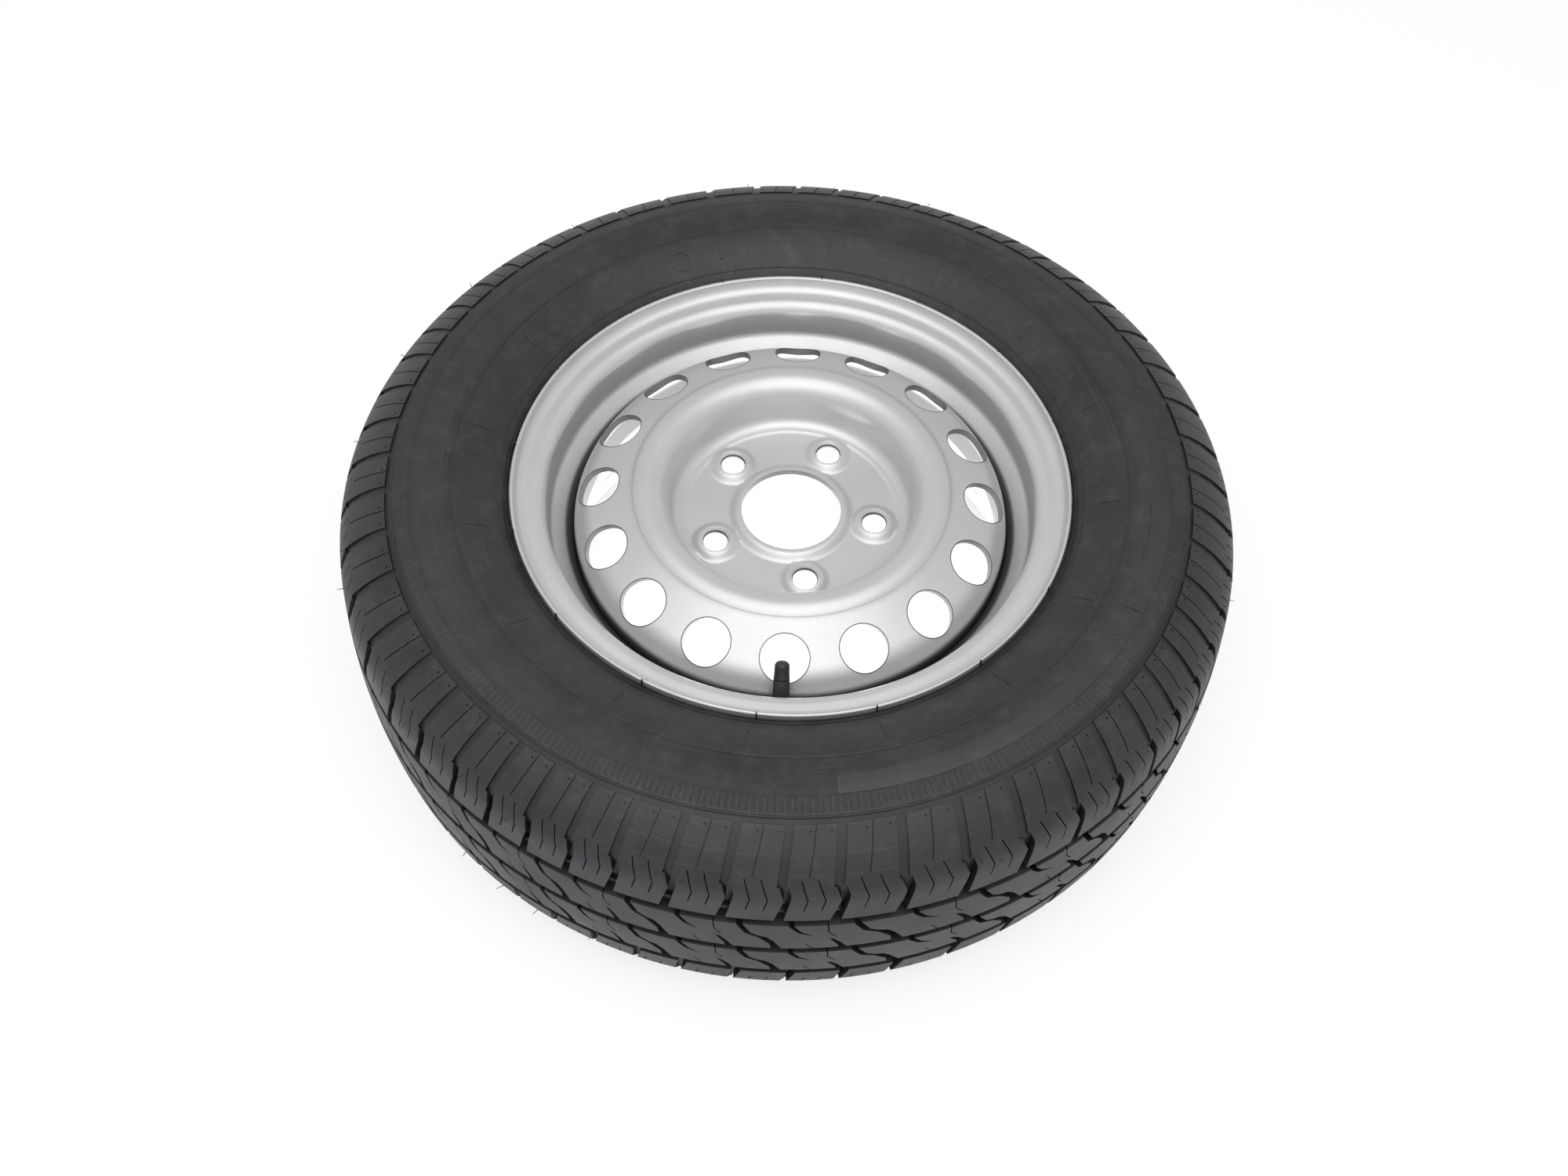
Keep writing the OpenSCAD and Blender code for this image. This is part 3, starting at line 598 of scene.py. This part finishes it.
def ribbon(bm, outer, inner):
    line = [bm.verts.new(p) for p in outer]
    edges = [bm.edges.new(pair) for pair in zip(line, line[1:])]
    made = bmesh.ops.extrude_edge_only(bm, edges=edges)["geom"]
    for vert in (g for g in made if isinstance(g, bmesh.types.BMVert)):
        vert.co = min(zip(outer, inner), key=lambda pair: (pair[0] - vert.co).length)[1]


def tread_blades():
    bm = bmesh.new()
    for k, (start, pitch) in enumerate(pitch_starts()):
        for inboard, base, way in both_sides(start, pitch):
            for line, depth in [*((p, SIPE_DEPTH) for p in SHOULDER_SIPES), (MID_LINE, LINE_DEPTH)]:
                ribbon(bm, *([at_skin(s, base + way * a, proud, inboard) for a, s in line]
                             for proud in (BLADE_TOP, -depth)))
        # The ribs are cut at every other repeat
        if k % 2:
            continue
        grow = pitch / PITCH_M
        for top in (RIB_EDGE, -GROOVE_W / 2):
            for line in RIB_SIPES:
                turns = [math.radians(start - SLOT_BACK + across * grow / DEG_W) for across, _ in line]
                heights = [top - down for _, down in line]
                ribbon(bm, *([Vector((r * math.cos(a), r * math.sin(a), z)) * MM
                              for a, z in zip(turns, heights)] for r in (TYRE_R + 1, TYRE_R - 5)))
    bmesh.ops.recalc_face_normals(bm, faces=bm.faces)
    bmesh.ops.solidify(bm, geom=bm.faces[:], thickness=BLADE_T * MM)
    # Pits that the mould's vents leave beside the slots
    for start, pitch in pitch_starts():
        for inboard, base, way in both_sides(start, pitch):
            for a, s in VENT_PITS:
                azimuth = base + way * a
                pit = on_surface(at_skin(s, azimuth, 0, inboard), outward_at(s, azimuth, inboard))
                bmesh.ops.create_cone(bm, cap_ends=True, segments=8, radius1=0.6 * MM,
                                      radius2=0.8 * MM, depth=2 * MM, matrix=pit)
    bmesh.ops.recalc_face_normals(bm, faces=bm.faces)
    return bm


def smooth_skin(data):
    """Shades the tyre's skin by its true curve, and leaves slot walls flat."""
    count = len(data.loops)
    index = np.zeros(count, int)
    data.loops.foreach_get("vertex_index", index)
    place = np.zeros(len(data.vertices) * 3)
    data.vertices.foreach_get("co", place)
    place = place.reshape(-1, 3) / MM
    flat = np.zeros(len(data.polygons) * 3)
    data.polygons.foreach_get("normal", flat)
    sizes = np.zeros(len(data.polygons), int)
    data.polygons.foreach_get("loop_total", sizes)
    face = np.repeat(flat.reshape(-1, 3), sizes, axis=0)
    radius = np.hypot(place[:, 0], place[:, 1])
    height = np.abs(place[:, 2])
    tread = radius > SHOULDER_FOOT_R
    centre = np.where((radius > WIDEST_R)[:, None], UPPER_WALL[0], LOWER_WALL[0])
    centre = np.where((tread & (height < SHOULDER_TOP_Z))[:, None], SHOULDER[0], centre)
    centre = np.where((tread & (height < CROWN_TOP_Z))[:, None], CROWN[0], centre)
    away = np.stack([radius, height], 1) - centre
    away /= np.linalg.norm(away, axis=1)[:, None]
    spread = place[:, :2] / radius[:, None]
    true = np.stack([away[:, 0] * spread[:, 0], away[:, 0] * spread[:, 1],
                     away[:, 1] * np.sign(place[:, 2])], 1)[index]
    # A face belongs to the skin when it leans less than 13 degrees from it
    near = (true * face).sum(1) > math.cos(math.radians(13))
    data.normals_split_custom_set(np.where(near[:, None], true, face).tolist())


def make_tyre():
    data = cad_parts["tyre"].data.copy()
    bm = bmesh.new()
    bm.from_mesh(data)
    bmesh.ops.remove_doubles(bm, verts=bm.verts, dist=2e-6)
    bm.to_mesh(data)
    bm.free()
    block = bpy.data.objects.new("tyre_blank", data)
    scene.collection.objects.link(block)
    made = cut(block, tread_blades())
    bpy.data.objects.remove(block)
    add_object("tyre_casing_and_tread", made, tyre_rubber, "wheel", ["tyre"])
    smooth_skin(made)


make_tyre()


# Raised details that the mould leaves on the sidewalls
def ridge_outline(s, width, high, inboard):
    points = [on_skin(s - width / 2, UNDER_SKIN), on_skin(s - width / 4, high),
              on_skin(s + width / 4, high), on_skin(s + width / 2, UNDER_SKIN)]
    return flipped(points) if inboard else points


def merge(target, source):
    data = bpy.data.meshes.new("merge")
    source.to_mesh(data)
    source.free()
    target.from_mesh(data)
    bpy.data.meshes.remove(data)


def make_fine_rings():
    # Distance along the skin, width and height of each ring
    rings = ((0.7, 0.9, 0.4), (7.5, 1.2, 0.4), (38.2, 1.2, 0.55), (63.4, 0.7, 0.2), (75.4, 1.4, 0.25))
    bm = bmesh.new()
    for inboard in (False, True):
        for s, width, high in rings:
            merge(bm, turned(ridge_outline(s, width, high, inboard), 240))
    add_piece("sidewall_fine_rings", bm, tyre_rubber, "wheel", crease=80)


def make_knurl():
    # About half as many ribs as the real mould has, and low ones, so that they show as ribs
    count, half_width, high, sunk = 1100, 0.45, 0.1, -0.06
    stations = [64.6, 67.5, 70.5, 73.6]
    lean = math.degrees(half_width / on_skin(stations[0])[0])
    profile = ((-lean, sunk), (0, high), (lean, sunk))
    bm = bmesh.new()
    for inboard in (False, True):
        one = bmesh.new()
        rings = [[at_skin(s, turn, proud, inboard) for turn, proud in profile] for s in stations]
        front = one.faces.new([one.verts.new(p) for p in rings[0]])
        for ring in rings[1:]:
            grown = bmesh.ops.extrude_face_region(one, geom=[front])["geom"]
            front = next(g for g in grown if isinstance(g, bmesh.types.BMFace))
            for vert, place in zip(front.verts, ring):
                vert.co = place
        bmesh.ops.spin(
            one, geom=one.verts[:] + one.edges[:] + one.faces[:], cent=(0, 0, 0), axis=(0, 0, 1),
            dvec=(0, 0, 0), angle=FULL_TURN * (count - 1) / count, steps=count - 1,
            use_duplicate=True)
        bmesh.ops.recalc_face_normals(one, faces=one.faces)
        merge(bm, one)
    add_piece("shoulder_knurl", bm, tyre_rubber, "wheel")


def raised_panel(bm, s0, s1, start, end, high, inboard):
    steps = 8
    line = [s0 + (s1 - s0) * i / steps for i in range(steps + 1)]
    outline = [on_skin(s, high) for s in line] + [on_skin(s, UNDER_SKIN) for s in line[::-1]]
    if inboard:
        outline = flipped(outline)
    merge(bm, turned(outline, max(6, round(end - start) * 2), end - start, start))


def make_panels():
    """Bare fields of the mould, between two azimuths each."""
    bm = bmesh.new()
    for start, end, inboard in ((277.6, 318.5, False), (332.6, 353.5, False), (97.6, 138.5, True)):
        raised_panel(bm, 51.5, 63.2, start, end, 0.35, inboard)
    add_piece("sidewall_bare_panels", bm, polished_sheen_rubber, "wheel")


def bar_along(bm, points, width, high):
    """A low bar that follows skin points (s, azimuth)."""
    for (s0, a0, inboard), (s1, a1, _) in zip(points, points[1:]):
        low, top = at_skin(s0, a0, 0, inboard), at_skin(s1, a1, 0, inboard)
        middle, along = (low + top) / 2, top - low
        out = outward_at((s0 + s1) / 2, (a0 + a1) / 2, inboard)
        side = along.normalized().cross(out)
        frame_of = Matrix((along.normalized(), side, out)).transposed().to_4x4()
        size = Matrix.Diagonal((along.length, width * MM, high * MM, 1))
        bmesh.ops.create_cube(bm, size=1, matrix=Matrix.Translation(middle) @ frame_of @ size)


def make_ticks():
    bm = bmesh.new()
    for k in range(MOULD_MARKS):
        azimuth = 16.6 + 360 / MOULD_MARKS * k
        for inboard in (False, True):
            bar_along(bm, [(19 + 4.5 * i, azimuth, inboard) for i in range(4)], 0.45, 0.5)
            dot = at_skin(17.4, azimuth, 0, inboard)
            bmesh.ops.create_uvsphere(bm, u_segments=8, v_segments=5, radius=0.7 * MM,
                                      matrix=Matrix.Translation(dot))
    # A small round emboss near the rim, left plain
    ring = turned([(7.2, UNDER_SKIN), (7.2, 0.35), (6.6, 0.35), (6.6, UNDER_SKIN)], 40)
    ring.transform(on_surface(at_skin(21, 115), outward_at(21, 115)))
    merge(bm, ring)
    add_piece("mould_ticks", bm, tyre_rubber, "wheel")


def make_hairs():
    """Spew hairs that weren't trimmed; most of them have broken off."""
    bm = bmesh.new()
    for start, pitch in pitch_starts():
        for inboard, base, way in both_sides(start, pitch):
            for a, s in ((1.3, 118), (5.6, 118), (3.4, 124)):
                azimuth = base + way * a
                length = float(rng.uniform(2, 5))
                lean = Vector(rng.uniform(-0.5, 0.5, 3))
                if rng.uniform() > HAIRS_LEFT:
                    continue
                out = (outward_at(s, azimuth, inboard) + lean).normalized()
                place = at_skin(s, azimuth, 0, inboard) + out * length / 2 * MM
                bmesh.ops.create_cone(bm, cap_ends=True, segments=5, radius1=0.28 * MM,
                                      radius2=0.18 * MM, depth=length * MM,
                                      matrix=on_surface(place, out))
    add_piece("spew_hairs", bm, tyre_rubber, "wheel", crease=80)


def make_rim_nibs():
    """Small nibs of the bead that show at the rim's edge."""
    bm = bmesh.new()
    for k in range(MOULD_MARKS):
        azimuth = math.radians(242.5 + 360 / MOULD_MARKS * k)
        place = Vector((FLANGE_R + 0.1, 0, 74.5)) * MM
        size = Matrix.Diagonal((1.2 * MM, 0.9 * MM, 6.2 * MM, 1))
        made = bmesh.ops.create_cube(bm, size=1, matrix=Matrix.Translation(place) @ size)["verts"]
        bmesh.ops.rotate(bm, verts=made, cent=(0, 0, 0), matrix=Matrix.Rotation(azimuth, 3, "Z"))
    bmesh.ops.bevel(bm, geom=bm.edges[:], offset=0.25 * MM, segments=2, profile=0.5,
                    affect="EDGES", material=-1)
    add_piece("rim_edge_nibs", bm, tyre_rubber, "wheel")


make_fine_rings()
make_knurl()
make_panels()
make_ticks()
make_hairs()
make_rim_nibs()


# Rim: one rolled steel band
def valve_frame():
    turn = Matrix.Rotation(math.radians(VALVE_AZ), 4, "Z")
    tilt = Matrix.Rotation(math.radians(-VALVE_TILT), 4, "Y")
    return turn @ Matrix.Translation(Vector((VALVE_AT[0], 0, VALVE_AT[1])) * MM) @ tilt


def make_rim():
    curl, heel, hump = ((172.5, 73), 9.5), ((171.2, 57), 6.5), ((160.5, 42.5), 4.2)
    seat = close_steps(arc(curl, 14, -90) + arc(heel, 90, 180) + arc(hump, 40, -53, 6), 7)
    inboard = flipped(arc(curl, 14, -90) + arc(heel, 90, 180) + arc(hump, 40, -20, 6))[::-1]
    floor = arc(((154.8, 22.93), 8), 127, 180, 5) + [(146.8, -8), (160.7, -34)]
    well = close_steps(floor + inboard, 7)
    # The outboard side that shows has softer bends than the side under the tyre
    shown = (arc((curl[0], curl[1] - RIM_T), 14, -90) + arc(((168.2, 58.3), 8), 90, 180)
             + arc(((154.2, 43.01), 6), 0, -53, 5))
    other = close_steps(shown, 7) + other_side(well, RIM_T)
    bm = turned(sheet_outline(seat + well, RIM_T, other), 320)
    piece = add_piece("rolled_rim", bm, silver_paint, "wheel", ["rim"], crease=24)
    hole = turned([(0, -5), (5.75, -5), (5.75, 7), (0, 7)], 48)
    hole.transform(valve_frame())
    punch(piece, hole, silver_paint)


make_rim()


# Disc: one pressing, with its bolt bosses and bore collar raised softly out of the hub plate
def rise(x, low, high):
    t = min(max((x - low) / (high - low), 0), 1)
    return t * t * (3 - 2 * t)


def boss_rise(x, y):
    """Height in mm of the pressing above the plate at a point in mm."""
    radius = math.hypot(x, y)
    if radius > PLATE_R:
        return 0
    lifts = [BOSS_LIFT * (1 - rise(radius, 35.6, 42.4))]
    for k in range(BOLTS):
        a = math.radians(BOLT_START + 360 / BOLTS * k)
        gap = math.hypot(x - BOLT_CIRCLE / 2 * math.cos(a), y - BOLT_CIRCLE / 2 * math.sin(a))
        lifts.append(BOSS_LIFT * (1 - rise(gap, 10.6, 17)))
    # A fifth-power sum joins collar and bosses without a crease
    return min(BOSS_LIFT, sum(lift ** 5 for lift in lifts) ** 0.2)


def bolt_place(k):
    turn = Matrix.Rotation(math.radians(BOLT_START + 360 / BOLTS * k), 4, "Z")
    return turn @ Matrix.Translation((BOLT_CIRCLE / 2 * MM, 0, 0))


def vent_place(k):
    turn = Matrix.Rotation(math.radians(VENT_START + 360 / VENTS * k), 4, "Z")
    lean = Matrix.Rotation(math.radians(BAND_SLOPE), 4, "Y")
    return turn @ Matrix.Translation((VENT_CIRCLE * MM, 0, VENT_Z * MM)) @ lean


def make_disc():
    ridge, edge, fillet = ((95.4, 53.494), 14), ((122.35, 32.1), 22), ((72.605, 42.3), 7.5)
    # A soft hollow that the press leaves where the ridge runs into the vented band
    hollow = ((113.4, 74.94), 14)
    plate = [(BORE_R, 34), (69.3, 34), (70.1, 34.12), (70.9, 34.5), (71.6, 34.76)]
    band = (arc(fillet, -90, -6, 5) + arc(ridge, 174, 50, 3) + arc(hollow, 230, 247.1, 3)
            + arc(edge, 67.1, 0, 3) + [(144.35, 8)])
    path = close_steps(plate, 1.1) + close_steps(band, 3)
    # The outline's last rounding is left off, so the bore's wall is square
    bm = turned(sheet_outline(path, DISC_T)[: 2 * len(path) + 5], 384)
    for vert in bm.verts:
        x, y = vert.co.x / MM, vert.co.y / MM
        if vert.co.z < 36 * MM and math.hypot(x, y) < PLATE_R:
            vert.co.z += boss_rise(x, y) * MM
    bmesh.ops.recalc_face_normals(bm, faces=bm.faces)
    piece = add_piece("vented_disc", bm, silver_paint, "wheel", ["disc"], crease=32)
    # Each bolt hole opens to a conical seat with a broken edge
    seat = [(0, 26), (BOLT_R, 26), (BOLT_R, 35.2), (9.6, 37.6), (10.1, 38.1), (10.8, 39), (0, 39)]
    tools = bmesh.new()
    for k in range(BOLTS):
        bolt = turned(seat, 64)
        bolt.transform(bolt_place(k))
        merge(tools, bolt)
    for k in range(VENTS):
        vent = turned([(0, -22), (VENT_R, -22), (VENT_R, 18), (0, 18)], 96)
        vent.transform(vent_place(k))
        merge(tools, vent)
    punch(piece, tools, silver_paint)


make_disc()


def make_welds():
    """Fillet beads under the disc's edge, rippled where the weld pool froze."""
    section = [(144.45, 8.2), (144.4, 4.4), (143.2, 5.0), (141.9, 6.4), (141.0, 8.1)]
    count = 8
    bm = bmesh.new()
    for k in range(count):
        start = 360 * (k + 0.25) / count
        bead = turned(section, 90, 26, start)
        for vert in bead.verts:
            azimuth = math.degrees(math.atan2(vert.co.y, vert.co.x)) - start
            if math.hypot(vert.co.x, vert.co.y) < 144 * MM:
                vert.co.z -= 0.28 * math.sin(azimuth * 9) * MM
        merge(bm, bead)
    add_piece("weld_beads", bm, silver_paint, "wheel", ["weld_seams"], crease=50)


make_welds()


# Valve: snap-in rubber body, brass stem with its thread, and the cap
def along_valve(name, outline, material, body, node, sides=64, extra=None):
    bm = turned(outline, sides)
    if extra:
        merge(bm, extra)
    bm.transform(valve_frame())
    add_piece(name, bm, material, body, [node], crease=35)


def thread_ridge(low, high):
    """One helical ridge, spun with a rise."""
    bm = bmesh.new()
    root, per_turn = THREAD_R - THREAD_DEPTH - 0.1, 36
    points = [(root, low), (THREAD_R, low + THREAD_PITCH * 0.45), (root, low + THREAD_PITCH * 0.9)]
    verts = [bm.verts.new(Vector((r, 0, z)) * MM) for r, z in points]
    edges = [bm.edges.new(pair) for pair in zip(verts, verts[1:] + verts[:1])]
    turns = (high - low) / THREAD_PITCH - 1
    made = bmesh.ops.spin(
        bm, geom=verts + edges, cent=(0, 0, 0), axis=(0, 0, 1),
        dvec=(0, 0, THREAD_PITCH / per_turn * MM), angle=FULL_TURN * turns,
        steps=round(turns * per_turn), use_duplicate=False)
    last = [g for g in made["geom_last"] if isinstance(g, bmesh.types.BMVert)]
    bm.faces.new(verts)
    bm.faces.new(last)
    bmesh.ops.recalc_face_normals(bm, faces=bm.faces)
    return bm


def make_valve():
    top = STEM_LEN + 2
    cap_foot, cap_r = top - CAP_LEN, CAP_R - 0.25
    rubber_end = cap_foot - 0.3
    stem_r = THREAD_R - 0.8
    # A low dome that the mould leaves on the rubber
    dome = bmesh.new()
    place = Matrix.Translation(Vector((cap_r + 0.04, 0, rubber_end - 3.2)) * MM)
    size = Matrix.Diagonal((0.45 * MM, 1.1 * MM, 1.1 * MM, 1))
    bmesh.ops.create_uvsphere(dome, u_segments=16, v_segments=10, radius=1, matrix=place @ size)
    along_valve("valve_body", [
        (stem_r + 0.02, -FOOT_LEN), (6.9, -FOOT_LEN), (7.3, -FOOT_LEN + 0.2),
        (8.2, -FOOT_LEN + 1.1), (9.25, -3.7), (9.3, -3.1), (9, -1.7), (8.6, -1), (7.4, -0.35),
        (5.7, -0.35), (5.7, RIM_T + 0.35), (7.1, RIM_T + 0.35), (7.3, RIM_T + 0.7),
        (7.2, RIM_T + 1.6), (6.8, RIM_T + 3), (6.3, RIM_T + 4.6), (5.9, RIM_T + 6.2),
        (5.5, RIM_T + 8), (5.25, RIM_T + 10), (5.1, RIM_T + 12),
        (cap_r + 0.1, rubber_end - 0.8), (cap_r - 0.1, rubber_end - 0.2),
        (cap_r - 0.5, rubber_end), (stem_r + 0.02, rubber_end)],
        valve_rubber, "wheel", "valve_rubber", extra=dome)
    # The stem is bored for the valve core, whose seat is a cone
    core_r, hole_r, seat, foot = 2.6, 2.05, STEM_LEN - 6.4, STEM_LEN - 19.6
    root = THREAD_R - THREAD_DEPTH
    along_valve("valve_stem_brass", [
        (DUCT_R, -FOOT_LEN + 1), (stem_r, -FOOT_LEN + 1), (stem_r, rubber_end + 0.01),
        (root, rubber_end + 0.4), (root, STEM_LEN - 0.4), (root - 0.3, STEM_LEN),
        (core_r + 0.3, STEM_LEN), (core_r, STEM_LEN - 0.3), (core_r, seat), (hole_r, seat - 1.6),
        (hole_r, foot - 3), (DUCT_R, foot - 3.6)],
        brass, "wheel", "valve_stem",
        extra=thread_ridge(rubber_end + 0.7, STEM_LEN - 0.1))
    along_valve("valve_cap_shell", [
        (THREAD_R + 0.08, cap_foot), (cap_r - 0.2, cap_foot), (cap_r, cap_foot + 0.25),
        (cap_r, cap_foot + 1.1), (cap_r - 0.08, cap_foot + 1.35), (cap_r - 0.15, cap_foot + 1.6),
        (cap_r - 0.25, cap_foot + 5), (cap_r - 0.35, top - 3.3),
        *arc(((cap_r - 3.45, top - 3.1), 3.1), 0, 90, 10), (0, top),
        (0, STEM_LEN + 0.6), (THREAD_R + 0.08, STEM_LEN + 0.6)],
        cap_plastic, "cap", "valve_cap")


make_valve()
for node, material in (("core_plug", brass), ("core_pin", brass), ("core_gasket", seal_rubber),
                       ("core_cup", seal_rubber), ("core_spring", spring_wire)):
    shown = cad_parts[node]
    shown.data.materials.clear()
    shown.data.materials.append(material)


# Studio: pale floor, soft lamps
def make_floor():
    bm = bmesh.new()
    bmesh.ops.create_grid(bm, x_segments=1, y_segments=1, size=6)
    data = bpy.data.meshes.new("studio_floor")
    bm.to_mesh(data)
    bm.free()
    data.transform(Matrix.Translation((0, 0, cad_low.z)))
    made = bpy.data.materials.new("white_studio_floor")
    made.use_nodes = True
    tree = made.node_tree
    tree.nodes.clear()
    paths = put(tree, "ShaderNodeLightPath").outputs
    seen = put(tree, "ShaderNodeMath", {"operation": "MAXIMUM"}, {
        0: paths["Is Camera Ray"], 1: paths["Is Glossy Ray"]}).outputs[0]
    seen = put(tree, "ShaderNodeMath", {"operation": "MAXIMUM"}, {
        0: seen, 1: paths["Is Transmission Ray"]}).outputs[0]
    matt = put(tree, "ShaderNodeBsdfDiffuse", None, {"Color": linear("#d9d9d9")})
    glow = put(tree, "ShaderNodeEmission", None, {"Color": (1, 1, 1, 1), "Strength": 0.74})
    faint = put(tree, "ShaderNodeBsdfDiffuse", None, {"Color": linear("#a0a0a0")})
    both = put(tree, "ShaderNodeAddShader", None, {0: glow.outputs[0], 1: faint.outputs[0]})
    mix = put(tree, "ShaderNodeMixShader", None, {0: seen, 1: matt.outputs[0], 2: both.outputs[0]})
    put(tree, "ShaderNodeOutputMaterial", None, {"Surface": mix.outputs[0]})
    data.materials.append(made)
    floor = bpy.data.objects.new("studio_floor", data)
    scene.collection.objects.link(floor)


def make_lamp(name, place, target, size, watts):
    data = bpy.data.lights.new(name, "AREA")
    data.shape = "DISK"
    data.size = size
    data.energy = watts
    lamp = bpy.data.objects.new(name, data)
    lamp.location = place
    lamp.rotation_euler = (Vector(target) - Vector(place)).to_track_quat("-Z", "Y").to_euler()
    lamp.visible_camera = False
    scene.collection.objects.link(lamp)


def make_light():
    make_lamp("softbox_above", (-0.05, -0.56, 1.92), (0, 0, 0), 2.6, 32)
    # A small lamp under the hub stands for the light that the white table sends up through the vents
    make_lamp("light_table", (0, 0, cad_low.z + MM), (0, 0, 1), 0.26, 0.6)
    world = bpy.data.worlds.new("studio_world")
    world.use_nodes = True
    tree = world.node_tree
    tree.nodes.clear()
    paths = put(tree, "ShaderNodeLightPath").outputs
    place = put(tree, "ShaderNodeTexCoord").outputs["Generated"]
    height = put(tree, "ShaderNodeSeparateXYZ", None, {0: place}).outputs["Z"]
    # A white sweep at the horizon and a dim ceiling, as glossy rays see them
    sweep = put(tree, "ShaderNodeMapRange", None, {
        "Value": height, "From Min": 0.2, "From Max": 0.9, "To Min": 1.0, "To Max": 0.4}).outputs[0]
    strength = put(tree, "ShaderNodeMix", None, {
        0: paths["Is Glossy Ray"], 2: 0.38, 3: sweep}).outputs[0]
    seen = put(tree, "ShaderNodeMath", {"operation": "MAXIMUM"}, {
        0: paths["Is Camera Ray"], 1: paths["Is Transmission Ray"]}).outputs[0]
    strength = put(tree, "ShaderNodeMix", None, {0: seen, 2: strength, 3: 1.0}).outputs[0]
    light = put(tree, "ShaderNodeBackground", None, {"Color": (1, 1, 1, 1), "Strength": strength})
    put(tree, "ShaderNodeOutputWorld", None, {"Surface": light.outputs[0]})
    scene.world = world


make_floor()
make_light()
scene.view_settings.view_transform = "Standard"
